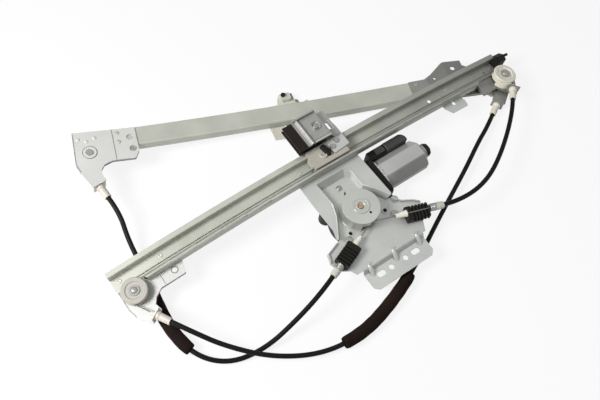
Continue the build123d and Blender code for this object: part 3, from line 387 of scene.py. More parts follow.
def loft(name: str, rings: list[list[Vector]], finish: Finish, closed: bool = False,
         floor: bool = True) -> bpy.types.Object:
    """Joins outlines that have the same count of points.

    Args:
        name: The form's name.
        rings: The points of each outline, in metres.
        finish: The form's finish.
        closed: Whether the last outline joins the first one; otherwise a face closes the last end.
        floor: Whether a face closes the first end too.

    Returns:
        The form, with its faces outwards.
    """
    count = len(rings[0])
    steps = [(ring, (ring + 1) % len(rings)) for ring in range(len(rings) if closed else len(rings) - 1)]
    sides = [(a, (a + 1) % count) for a in range(count)]
    faces = [[low * count + a, low * count + b, high * count + b, high * count + a]
             for low, high in steps for a, b in sides]
    if not closed:
        ends = [0, len(rings) - 1] if floor else [len(rings) - 1]
        faces += [list(range(end * count, (end + 1) * count)) for end in ends]
    form = new_mesh_object(name, [point for ring in rings for point in ring], faces, finish)
    close_up(form)
    return form


def round_turns(sides: int) -> list[float]:
    """Gives evenly spaced turns once round, in radians."""
    return [2 * math.pi * side / sides for side in range(sides)]


def arc(middle: Pair, radius: float, sweep: Pair, steps: int) -> Path:
    """Gives the points of an arc.

    Args:
        middle: Its middle in millimetres.
        radius: Its radius in millimetres.
        sweep: Its first and its last turn in degrees.
        steps: How many parts it has.

    Returns:
        The points.
    """
    (x, y), (first, last) = middle, sweep
    turns = [math.radians(first + (last - first) * step / steps) for step in range(steps + 1)]
    return [(x + radius * math.cos(turn), y + radius * math.sin(turn)) for turn in turns]


def lathe(name: str, profile: Path, sides: int, finish: Finish) -> bpy.types.Object:
    """Turns a profile about z into a solid form.

    Args:
        name: The form's name.
        profile: Its radius and height from the lower pole to the upper pole, in millimetres.
        sides: How many sides it has.
        finish: Its finish.

    Returns:
        The form.
    """
    verts: list[Vector] = []
    rings: list[list[int]] = []
    for radius, height in profile:
        turns = round_turns(sides if radius else 1)
        rings.append(list(range(len(verts), len(verts) + len(turns))))
        verts += [Vector((radius * math.cos(turn), radius * math.sin(turn), height)) * MM for turn in turns]
    faces = []
    for low, high in zip(rings, rings[1:]):
        for a in range(sides):
            b = (a + 1) % sides
            corners = [low[a % len(low)], low[b % len(low)], high[b % len(high)], high[a % len(high)]]
            faces.append(list(dict.fromkeys(corners)))
    return new_mesh_object(name, verts, faces, finish)


def annulus(name: str, radii: Pair, high: float, finish: Finish) -> bpy.types.Object:
    """Turns a flat ring with rounded upper edges about z.

    Args:
        name: The ring's name.
        radii: Its inner and outer radius in millimetres.
        high: How far it stands up, in millimetres.
        finish: Its finish.

    Returns:
        The ring.
    """
    inner, outer = radii
    edge, sunk, sides = 0.35 * min(high, outer - inner), 0.1, 48
    profile = [(inner, -sunk), (outer, -sunk), (outer, high - edge), (outer - edge, high),
               (inner + edge, high), (inner, high - edge)]
    rings = [[Vector((radius * math.cos(turn), radius * math.sin(turn), height)) * MM
              for radius, height in profile] for turn in round_turns(sides)]
    return loft(name, rings, finish, closed=True)


def upright_wall(name: str, spot: Spot, path: Path, levels: Pair, thickness: float,
                 finish: Finish) -> bpy.types.Object:
    """Makes a bent sheet wall over a path, with its edges rounded.

    Args:
        name: The piece's name.
        spot: What turns a place and a level in millimetres into a point in metres.
        path: The places of the wall's middle.
        levels: The levels of its lower and its upper edge.
        thickness: The sheet's thickness in millimetres.
        finish: Its finish.

    Returns:
        The wall.
    """
    low, high = levels
    line = [(spot(x, y, low), spot(x, y, high)) for x, y in path]
    rings = []
    for index, (foot, head) in enumerate(line):
        rise = (head - foot).normalized()
        sides = [(line[b][0] - line[b - 1][0]).cross(rise).normalized()
                 for b in (index, index + 1) if 0 < b < len(line)]
        middle = sum(sides, Vector()).normalized()
        reach = middle * (thickness * MM / 2 / max(SHARPEST_TURN, middle.dot(sides[0])))
        rings.append([foot + reach, foot - reach, head - reach, head + reach])
    wall = loft(name, rings, finish)
    close_up(wall, EDGE_SHARE * thickness)
    return wall


def join_as(name: str, parts: list[bpy.types.Object]) -> bpy.types.Object:
    """Joins mesh objects with one finish into one piece.

    Args:
        name: The piece's name.
        parts: The objects, which are used up.

    Returns:
        The piece.
    """
    work = bmesh.new()
    for part in parts:
        work.from_mesh(part.data)
    mesh = bpy.data.meshes.new(name)
    work.to_mesh(mesh)
    work.free()
    mesh.materials.append(parts[0].data.materials[0])
    for part in parts:
        bpy.data.objects.remove(part)
    return add_object(name, mesh)


def settle(piece: bpy.types.Object, body: str, node: str = "") -> bpy.types.Object:
    """Ties a piece to its body, and lets it stand for a CAD node.

    Args:
        piece: The piece.
        body: The body that it rides on.
        node: The CAD node whose place it takes, if any.

    Returns:
        The piece.
    """
    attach(piece, body)
    if node:
        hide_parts(node)
    return piece


def row_spot(x: float, y: float, z: float) -> Vector:
    """Gives a point of the regulator's own frame in metres, from millimetres."""
    return Vector((x, y, z)) * MM


def level_way(heading: float) -> Vector:
    """Gives the level direction that lies a heading in degrees from x."""
    return Vector((math.cos(math.radians(heading)), math.sin(math.radians(heading)), 0))


def frame_matrix(origin: Vector, x_axis: Vector, z_axis: Vector) -> Matrix:
    """Makes the matrix of a frame.

    Args:
        origin: Its origin in millimetres.
        x_axis: Its x direction.
        z_axis: Its z direction.

    Returns:
        The matrix, in metres.
    """
    turn = Matrix((x_axis, z_axis.cross(x_axis), z_axis)).transposed().to_4x4()
    return Matrix.Translation(origin * MM) @ turn


@dataclass(frozen=True)
class RailLine:
    """A bowed guide rail's line, which places small details along it, in millimetres and degrees."""

    bow: float
    low_point: float
    level: float
    side_way: float
    heading: float
    opens_up: bool

    @property
    def way(self) -> float:
        """Gives 1 where the rail's open side faces up, and -1 where it faces down."""
        return 1.0 if self.opens_up else -1.0

    def place(self, along: float, across: float, above: float) -> Matrix:
        """Gives a frame on the rail: x along it, y across it, z out of its open side.

        Args:
            along: Distance along the rail from its origin.
            across: Distance across it.
            above: Distance out of the web's outer face.

        Returns:
            The matrix from that frame to the regulator's frame, in metres.
        """
        turn, reach = (along - self.low_point) / self.bow, self.bow + above
        ahead = level_way(self.heading)
        side = UP.cross(ahead)
        run = self.low_point + reach * math.sin(turn)
        height = self.level + self.way * (reach * math.cos(turn) - self.bow)
        origin = Vector((0, self.side_way, 0)) + ahead * run + side * across + UP * height
        z_axis = ahead * math.sin(turn) + UP * self.way * math.cos(turn)
        x_axis = ahead * self.way * math.cos(turn) - UP * math.sin(turn)
        return frame_matrix(origin, x_axis, z_axis)

    def spot(self, along: float, across: float, above: float) -> Vector:
        """Gives the point there, in metres."""
        return self.place(along, across, above).translation


@dataclass(frozen=True)
class RailPlace:
    """A place on a rail, from which a bracket's or a slider's own coordinates start, in millimetres."""

    rail: RailLine
    along: float
    across: float

    def spot(self, x: float, y: float, above: float) -> Vector:
        """Gives a point by the piece's own coordinates, in metres."""
        return self.rail.spot(self.along + x * self.rail.way, self.across + y, above)


RAIL_A = RailLine(bow=2500.0, low_point=0.0, level=40.0, side_way=80.0, heading=0.0, opens_up=True)
RAIL_B = RailLine(bow=5000.0, low_point=260.0, level=15.6, side_way=178.3, heading=-19.0, opens_up=False)
A_LOWER = RailPlace(RAIL_A, -278.0, -20.0)
A_UPPER = RailPlace(RAIL_A, 303.0, -20.0)
B_LOWER = RailPlace(RAIL_B, -244.6, -16.0)
B_UPPER = RailPlace(RAIL_B, 316.0, -16.0)
SLIDER_A = RailPlace(RAIL_A, 8.0, 0.0)
OUTLET_HEADINGS = {"left": 201.0, "right": -18.4}
MOTOR_MIDDLE: Pair = (30.0, 17.0)
MOTOR_HALF: Pair = (21.0, 16.4)


class GeometryTree:
    """A Geometry Nodes tree with named inputs, whose result becomes a plain mesh."""

    def __init__(self, name: str, inputs: dict[str, str]) -> None:
        """Makes the tree and its sockets.

        Args:
            name: The tree's name.
            inputs: The kind of each input, by the input's name.
        """
        self.tree = bpy.data.node_groups.new(name, "GeometryNodeTree")
        sockets = self.tree.interface
        sockets.new_socket("Geometry", in_out="OUTPUT", socket_type="NodeSocketGeometry")
        self.inputs = {
            label: sockets.new_socket(label, in_out="INPUT", socket_type=f"NodeSocket{kind}").identifier
            for label, kind in inputs.items()
        }
        self.given = add_node(self.tree, "NodeGroupInput").outputs

    def close(self, geometry: bpy.types.NodeSocket, material: object) -> None:
        """Realizes the geometry, gives it a material and leads it out.

        Args:
            geometry: The socket of the geometry.
            material: The material, or the socket that gives it.
        """
        real = add_node(self.tree, "GeometryNodeRealizeInstances", {"Geometry": geometry})
        finished = add_node(self.tree, "GeometryNodeSetMaterial", {
            "Geometry": real.outputs["Geometry"], "Material": material})
        add_node(self.tree, "NodeGroupOutput", {0: finished.outputs["Geometry"]})

    def run(self, holder: bpy.types.Object, values: dict[str, object]) -> None:
        """Runs the tree on an object, which takes the result as its mesh.

        Args:
            holder: The object.
            values: The inputs' values by name.
        """
        modifier = holder.modifiers.new("tree", "NODES")
        modifier.node_group = self.tree
        for label, value in values.items():
            modifier[self.inputs[label]] = value
        bake(holder, modifier)
        smooth(holder)


class Coils(GeometryTree):
    """The tree that winds a spring's wire."""

    def __init__(self) -> None:
        """Builds the tree."""
        super().__init__("outlet_coil", dict.fromkeys(("Turns", "Radius", "Length", "Wire radius"), "Float"))
        given = self.given
        spiral = add_node(self.tree, "GeometryNodeCurveSpiral", {
            "Resolution": 20, "Rotations": given["Turns"], "Start Radius": given["Radius"],
            "End Radius": given["Radius"], "Height": given["Length"]})
        section = add_node(self.tree, "GeometryNodeCurvePrimitiveCircle", {
            "Resolution": 10, "Radius": given["Wire radius"]})
        sweep = add_node(self.tree, "GeometryNodeCurveToMesh", {
            "Fill Caps": True, "Curve": spiral.outputs["Curve"], "Profile Curve": section.outputs["Curve"]})
        self.close(sweep.outputs["Mesh"], RIVET_STEEL.material())


class Repeats(GeometryTree):
    """The tree that sets one form on every point of a mesh, turned as the point says."""

    def __init__(self) -> None:
        """Builds the tree."""
        super().__init__("repeated_form", {"Points": "Geometry", "Form": "Object", "Finish": "Material"})
        form = add_node(self.tree, "GeometryNodeObjectInfo", {"Object": self.given["Form"]})
        turn = add_node(self.tree, "GeometryNodeInputNamedAttribute", {"Name": "turn"},
                        data_type="FLOAT_VECTOR")
        rotation = add_node(self.tree, "FunctionNodeEulerToRotation", {"Euler": turn.outputs["Attribute"]})
        scatter = add_node(self.tree, "GeometryNodeInstanceOnPoints", {
            "Points": self.given["Points"], "Instance": form.outputs["Geometry"],
            "Rotation": rotation.outputs["Rotation"]})
        self.close(scatter.outputs["Instances"], self.given["Finish"])

    def lay(self, name: str, form: bpy.types.Object, places: list[Matrix],
            finish: Finish) -> bpy.types.Object:
        """Sets the form on every place and makes one plain mesh of them.

        Args:
            name: The piece's name.
            form: The form, which is used up.
            places: The frame of each copy.
            finish: The finish of all copies.

        Returns:
            The piece.
        """
        piece = new_mesh_object(name, [place.translation for place in places], [], finish)
        turns = piece.data.attributes.new("turn", "FLOAT_VECTOR", "POINT")
        for item, place in zip(turns.data, places):
            item.vector = place.to_euler()
        self.run(piece, {"Form": form, "Finish": finish.material()})
        bpy.data.objects.remove(form)
        return piece


@dataclass
class Conduits:
    """The three sheathed cables: smooth cords through the same route points as the solids, in millimetres."""

    radius: float = 3.0
    routes: dict[str, list[Point]] = field(default_factory=lambda: {
        "conduit_1": [
            (91.4, -51.5, 41.92), (114.2, -59.1, 41.92), (163, -56, 38), (214, -32, 34), (268.3, 6.0, 32.9),
            (285.1, 22.9, 30.9),
        ],
        "conduit_2": [
            (-262.9, 6.5, 33.3), (-251.0, -14.2, 34.7), (-226, -48, 22), (-186, -88, 14), (-134, -116, 9),
            (-80, -122, 8.6), (-28, -110, 8.6), (25, -90, 8.6), (75, -64, 8.8), (125, -40, 10),
            (170, -19, 11), (212, 3, 11), (238.9, 14.6, 8.4), (259.9, 26.2, 8.6),
        ],
        "conduit_3": [
            (-78.7, -51.6, 37.28), (-101.1, -60.2, 37.28), (-140, -68, 23), (-185, -73, 8), (-228, -65, 4.4),
            (-257, -38, 8.6), (-266, 6, 8.6), (-261, 52, 8.8), (-254, 92, 11), (-251, 127, 19),
            (-243.9, 157.1, 31.9), (-245.5, 181.0, 32.8),
        ],
    })
    lengths: dict[str, float] = field(default_factory=lambda: {
        "conduit_1": 219.0, "conduit_2": 609.0, "conduit_3": 419.0})

    def build(self, sleeves: dict[str, bpy.types.Object]) -> list[bpy.types.Object]:
        """Args:
            sleeves: The foam sleeve on each conduit that has one, by the conduit's name. It is not used.

        Returns:
            The cords.
        """
        made = []
        for name, points in self.routes.items():
            cord = new_curve(f"{name}_sheath", "NURBS", points, self.radius, fineness=5)
            cord.data.materials.append(SHEATH.material())
            made.append(settle(cord, "base", name))
            tuple(value * MM for value in points[0])
        return made

    def centre_line(self, name: str) -> list[Vector]:
        """Reads the points of a route's smooth centre line.

        Args:
            name: The conduit's name.

        Returns:
            The points, in metres.
        """
        bare = new_curve(f"{name}_line", "NURBS", self.routes[name])
        points = [vert.co.copy() for vert in evaluated_mesh(bare).vertices]
        bpy.data.objects.remove(bare)
        return points


@dataclass
class FoamSleeves:
    """The foam sleeves on two of the conduits, lumpy and a little slack, in millimetres."""

    radius: float = 7.9
    bore: float = 3.0
    sides: int = 28
    lump: float = 0.25
    lump_waves: Point = (3.0, 17.0, 23.0)
    end_rounding: float = 0.9
    end_slope: float = 14.0
    end_power: float = 0.4
    spans: dict[str, tuple[str, Point, Point]] = field(default_factory=lambda: {
        "conduit_2": ("foam_sleeve_upper", (-107, -119, 8.8), (11.8, -95, 8.6)),
        "conduit_3": ("foam_sleeve_lower", (-259, -27, 8.6), (-257.2, 74, 10.0)),
    })

    def build(self, conduits: Conduits) -> dict[str, bpy.types.Object]:
        """Makes both sleeves.

        Args:
            conduits: The cords that they sit on.

        Returns:
            Each sleeve, by the name of its conduit.
        """
        made = {}
        for conduit, (node, start, stop) in self.spans.items():
            line = self._stretch(conduits.centre_line(conduit), start, stop)
            made[conduit] = settle(self._tube(f"{node}_foam", line), "base", node)
        return made

    def _stretch(self, line: list[Vector], start: Point, stop: Point) -> list[Vector]:
        """Takes the part of a line between the points nearest to two places.

        Args:
            line: The conduit's centre line, in metres.
            start: Where the sleeve starts, in millimetres.
            stop: Where it ends, in millimetres.

        Returns:
            The sleeve's own centre line.
        """
        ends = [min(range(len(line)), key=lambda index: (line[index] - row_spot(*place)).length)
                for place in (start, stop)]
        return line[min(ends):max(ends) + 1]

    def _tube(self, name: str, line: list[Vector]) -> bpy.types.Object:
        """Makes a soft tube with uneven walls round a line.

        Args:
            name: The piece's name.
            line: Its centre line, in metres.

        Returns:
            The sleeve.
        """
        outer, inner = [], []
        last = len(line) - 1
        for index, centre in enumerate(line):
            ahead = (line[min(index + 1, last)] - line[max(index - 1, 0)]).normalized()
            side = ahead.cross(UP).normalized()
            ways = [(turn, side * math.cos(turn) + side.cross(ahead) * math.sin(turn))
                    for turn in round_turns(self.sides)]
            share = index / last
            filled = min(1.0, self.end_slope * min(share, 1 - share)) ** self.end_power
            reach = self.radius - self.end_rounding * (1 - filled)
            outer.append([centre + way * (reach - self._lump(turn, share)) * MM for turn, way in ways])
            inner.append([centre + way * self.bore * MM for _, way in ways])
        sleeve = loft(name, outer + inner[::-1], FOAM, closed=True)
        smooth(sleeve)
        return sleeve

    def _lump(self, turn: float, share: float) -> float:
        """Gives how far the foam sinks in at a turn round it and a share of its length."""
        folds, twist, waves = self.lump_waves
        return self.lump * math.sin(folds * turn + twist * share) * math.sin(waves * share + turn)


@dataclass
class Springs:
    """The springs of the two cable outlets, which keep the cable taut, in millimetres."""

    length: float = 9.0
    turns: float = 6.0
    wire: float = 0.95
    mean_radius: float = 4.0
    starts: dict[str, Point] = field(default_factory=lambda: {
        "left": (-61.0, -44.8, 37.28), "right": (73.4, -45.5, 41.92)})

    def build(self) -> list[bpy.types.Object]:
        """Winds both springs.

        Returns:
            The springs.
        """
        coils = Coils()
        sizes = {"Turns": self.turns, "Radius": self.mean_radius * MM,
                 "Length": (self.length - 2 * self.wire) * MM, "Wire radius": self.wire * MM}
        made = []
        for side, start in self.starts.items():
            ahead = level_way(OUTLET_HEADINGS[side])
            place = frame_matrix(Vector(start), UP.cross(ahead), ahead)
            spring = new_mesh_object(f"outlet_spring_{side}_coil", [Vector()], [], RIVET_STEEL)
            coils.run(spring, sizes)
            spring.data.transform(place @ Matrix.Translation(row_spot(0, 0, self.wire)))
            made.append(settle(spring, "base", f"outlet_spring_{side}"))
        return made


@dataclass
class Retainers:
    """The ribbed black clips that hold the conduits in the drive plate, in millimetres."""

    length: float = 30.0
    half_width: float = 9.5
    half_height: float = 6.0
    middle_level: float = 36.1
    corner: float = 2.6
    block: float = 8.0
    ribs: int = 5
    rib: float = 2.3
    depth: float = 2.2
    edge: float = 0.35
    slope: float = 0.05
    gap: float = 0.01
    lead_in: float = 0.8
    least_corner: float = 0.8
    split_depth: float = 0.9
    split_half: float = 0.4
    starts: dict[str, Pair] = field(default_factory=lambda: {"left": (-33.0, -34.1), "right": (44.9, -36.0)})

    def build(self) -> list[bpy.types.Object]:
        """Makes both clips, whose own frames have x up and z along the conduit.

        Returns:
            The clips.
        """
        made = []
        for side, start in self.starts.items():
            place = frame_matrix(Vector((*start, self.middle_level)), UP, level_way(OUTLET_HEADINGS[side]))
            rings = [[place @ row_spot(high, wide, along) for high, wide in self._ring(drawn_in)]
                     for along, drawn_in in self._stations()]
            clip = loft(f"outlet_retainer_{side}_clip", rings, BLACK)
            made.append(settle(clip, "base", f"outlet_retainer_{side}"))
        return made

    def _stations(self) -> Path:
        """Works out where the clip's outline changes.

        Returns:
            Each place along the clip, with how far the outline is drawn in there.
        """
        edge, slope = self.edge, self.slope
        stations = [(0.0, self.lead_in), (self.lead_in, 0.0), (self.block - edge, 0.0), (self.block, edge)]
        pitch = (self.length - self.block) / self.ribs
        for index in range(self.ribs):
            start = self.block + index * pitch
            stop = start + pitch
            rise = stop - self.rib
            stations += [(start + slope, self.depth), (rise - slope, self.depth), (rise, edge),
                         (rise + edge, 0.0), (stop - edge, 0.0), (stop - self.gap, edge)]
        return stations

    def _ring(self, drawn_in: float) -> Path:
        """Works out the clip's outline, with the split line between its halves.

        Args:
            drawn_in: How far the outline is drawn in.

        Returns:
            Height and side of each point.
        """
        high, wide = self.half_height - drawn_in, self.half_width - drawn_in
        corner = max(self.least_corner, self.corner - drawn_in)
        ring = []
        for quarter, (up, out) in enumerate(((1, 1), (1, -1), (-1, -1), (-1, 1))):
            turns = [step * math.pi / 8 for step in range(5)]
            if quarter in (0, 2):
                ring += [(-self.split_half * up, wide * out), (0.0, (wide - self.split_depth) * out),
                         (self.split_half * up, wide * out)]
            else:
                turns.reverse()
            for turn in turns:
                rise, reach = corner * (math.sin(turn) - 1), corner * (math.cos(turn) - 1)
                ring.append(((high + rise) * up, (wide + reach) * out))
        return ring


@dataclass
class Rivets:
    """The rivets of the rails, set nearly flush, and the riveted screw in the pocket, in millimetres."""

    shank: float = 2.34
    head_radius: float = 3.0
    head_height: float = 0.35
    chamfer: float = 0.4
    gap: float = 0.02
    sheet: float = 1.52
    mark: Pair = (1.1, 0.3)
    along_a: Path = field(default_factory=lambda: [
        (-287, 3), (-232, 3), (266, 3), (299, 3), (200, -1), (224, -1)])
    along_b: Path = field(default_factory=lambda: [(-208, -6.5), (-208, 6.5), (203, -6.5), (203, 6.5)])
    plate_at: Path = field(default_factory=lambda: [(-34, 0), (4, 0), (34, 0)])
    plate_low: float = -2.4
    pocket_spot: Point = (0.0, 41.0, 30.0)
    screw: Path = field(default_factory=lambda: [
        (0, -2.6), (3.4, -2.6), (3.4, -1.56), (2.4, -1.54), (2.4, -0.02), (4.0, 0.02), (4.0, 0.5), (3.2, 0.9),
        (2.9, 0.7), (2.2, 0.8), (1.9, 1.5), (1.1, 1.6), (0.7, 1.0), (0, 1.0)])

    def build(self, repeats: Repeats) -> list[bpy.types.Object]:
        """Makes the rails' rivets, the plate's rivets and the screw, whose shank goes through the plate.

        Args:
            repeats: The tree that sets them out.

        Returns:
            The pieces.
        """
        rail_places = [RAIL_A.place(*spot, 0) for spot in self.along_a]
        rail_places += [RAIL_B.place(*spot, 0) for spot in self.along_b]
        plate_places = [RAIL_A.place(*spot, 0) for spot in self.plate_at]
        screw_places = [Matrix.Translation(row_spot(*self.pocket_spot))]
        made = []
        for name, form, places, finish, node in (
            # the rivets wear rail A's finish, with its painted shade along x
            ("rail_rivets_flush", self._rivet(-self.sheet), rail_places, RAIL_PAINTED_SHADE, "rail_rivets"),
            ("plate_rivets_flush", self._rivet(self.plate_low), plate_places, RAIL_PAINTED_SHADE, "plate_rivets"),
            ("pocket_screw", lathe("screw", self.screw, 32, RIVET_STEEL), screw_places, RIVET_STEEL, ""),
        ):
            made.append(settle(repeats.lay(name, form, places, finish), "base", node))
        return made

    def _rivet(self, low: float) -> bpy.types.Object:
        """Turns one rivet from a low face to the rail's inner face, with a punch mark.

        Args:
            low: The level of the low face in millimetres.

        Returns:
            The rivet.
        """
        head, flat, high = self.head_radius, self.head_radius - self.chamfer, self.sheet
        top, bottom = high + self.head_height, low - self.head_height
        mark, sunk = self.mark
        return lathe("rivet", [
            (0, bottom), (flat, bottom), (head, low), (self.shank, low + self.gap),
            (self.shank, high - self.gap), (head, high), (flat, top), (mark, top), (mark - sunk, top - sunk),
            (0, top - sunk),
        ], 24, RAIL_PAINTED_SHADE)


@dataclass
class LowerBracketBeads:
    """The three stamped beads in the bracket at rail B's lower end, which painted light makes nearly white,
    in millimetres.
    """

    radius: float = 2.6
    height: float = 0.9
    sunk: float = 0.2
    spots: Path = field(default_factory=lambda: [(-256.1, 4.4), (-246.5, 0.5), (-236.3, 4.0)])

    def build(self, repeats: Repeats) -> list[bpy.types.Object]:
        """Makes the beads.

        Args:
            repeats: The tree that sets them out.

        Returns:
            The piece.
        """
        turns = [math.radians(angle) for angle in (8, 30, 55, 75)]
        crown = [(self.radius * math.cos(turn), self.height * math.sin(turn)) for turn in turns]
        bead = lathe("bead", [(0, -self.sunk), (self.radius, -self.sunk), *crown, (0, self.height)], 24,
                     PAINTED_LIGHT_BRACKET)
        places = [RAIL_B.place(*spot, -SHEET) @ FLIP for spot in self.spots]
        beads = repeats.lay("rail_b_bracket_beads", bead, places, PAINTED_LIGHT_BRACKET)
        return [settle(beads, "base")]


@dataclass
class ConnectorPins:
    """The two rows of contact pins in the control unit's socket, in millimetres."""

    columns: int = 7
    pitch: float = 2.4
    first: float = 64.8
    rows: Pair = (17.6, 22.4)
    root: float = 55.1
    reach: float = 6.0
    radius: float = 0.45
    tip: float = 0.15
    taper: float = 1.0

    def build(self, repeats: Repeats) -> list[bpy.types.Object]:
        """Makes the pins.

        Args:
            repeats: The tree that sets them out.

        Returns:
            The piece.
        """
        profile = [(0, 0), (self.radius, 0), (self.radius, self.reach - self.taper), (self.tip, self.reach),
                   (0, self.reach)]
        lean = Matrix.Rotation(-math.pi / 2, 4, "X")
        places = [Matrix.Translation(row_spot(self.first + column * self.pitch, self.root, row)) @ lean
                  for column in range(self.columns) for row in self.rows]
        pins = repeats.lay("connector_pins", lathe("pin", profile, 8, BRONZE), places, BRONZE)
        return [settle(pins, "base")]


@dataclass
class MotorCrimps:
    """The folded tabs that hold the motor can to its flange, in millimetres."""

    root_x: float = 59.0
    sunk: float = 0.6
    width: float = 4.4
    tab: Path = field(default_factory=lambda: [
        (0, 0), (3.4, 0), (3.4, 0.55), (2.8, 1.1), (0.5, 1.1), (0, 0.66)])
    steps: Point = (-7.0, 0.0, 7.0)

    def build(self, repeats: Repeats) -> list[bpy.types.Object]:
        """Makes the tabs.

        Args:
            repeats: The tree that sets them out.

        Returns:
            The piece.
        """
        sides = (-self.width / 2, self.width / 2)
        form = loft("tab", [[row_spot(x, y, z) for x, z in self.tab] for y in sides], CAN_STEEL)
        y, z = MOTOR_MIDDLE
        rise = MOTOR_HALF[1] - self.sunk
        places = [Matrix.Translation(row_spot(self.root_x, y + step, z + rise * way)) @ turn
                  for way, turn in ((1, Matrix()), (-1, FLIP)) for step in self.steps]
        return [settle(repeats.lay("motor_crimp_tabs", form, places, CAN_STEEL), "base")]


@dataclass
class PlateDetails:
    """The drive plate's upturned rims and the ribs over its stepped strip, in millimetres."""

    rim: float = 1.4
    rim_levels: Pair = (28.6, 33.8)
    rims: dict[str, Path] = field(default_factory=lambda: {
        "right": [(47.0, -5.4), (55.6, -16.2), (67.6, -23.0), (74.9, -29.6)],
        "left": [(-47.6, -18.8), (-65.2, -24.9), (-69.0, -35.6)],
    })
    rib_at: tuple[float, ...] = (-30.8, 6.0, 43.3)
    rib_line: list[Point] = field(default_factory=lambda: [
        (-58.5, 29.6, 0.6), (-60.5, 30.0, 2.2), (-64.0, 29.2, 3.2), (-68.0, 26.2, 3.6), (-72.0, 23.3, 3.0),
        (-75.0, 21.9, 1.6), (-76.0, 21.6, 0.5)])
    rib_share: float = 0.75
    rib_sunk: float = 0.6
    rib_steps: int = 10
    bar: Point = (9.0, 2.2, 1.1)
    bar_side: float = -60.6
    bar_foot: float = 29.4

    def build(self, repeats: Repeats) -> list[bpy.types.Object]:
        """Makes the rims and the ribs.

        Args:
            repeats: The tree that sets the ribs out.

        Returns:
            The pieces.
        """
        made = [upright_wall(f"plate_{side}_arm_rim", row_spot, path, self.rim_levels, self.rim, PLATE_STEEL)
                for side, path in self.rims.items()]
        form = join_as("rib", [self._rib(), self._bar()])
        places = [Matrix.Translation(row_spot(x, 0, 0)) for x in self.rib_at]
        made.append(repeats.lay("strip_ribs", form, places, PLATE_STEEL))
        return [settle(piece, "base") for piece in made]

    def _rib(self) -> bpy.types.Object:
        """Makes the long half-round rib that runs down over the step.

        Returns:
            The rib.
        """
        turns = [math.pi * step / self.rib_steps for step in range(self.rib_steps + 1)]
        share = self.rib_share
        rings = [[row_spot(size * math.cos(turn), y, z - self.rib_sunk + share * size * math.sin(turn))
                  for turn in turns] for y, z, size in self.rib_line]
        return loft("long_rib", rings, PLATE_STEEL)

    def _bar(self) -> bpy.types.Object:
        """Makes the short bar across the rib's upper end.

        Returns:
            The bar.
        """
        long, wide, high = self.bar
        path = [(x, self.bar_side) for x in (-long / 2, 0, long / 2)]
        levels = (self.bar_foot, self.bar_foot + self.rib_sunk + high)
        return upright_wall("cross_bar", row_spot, path, levels, wide, PLATE_STEEL)


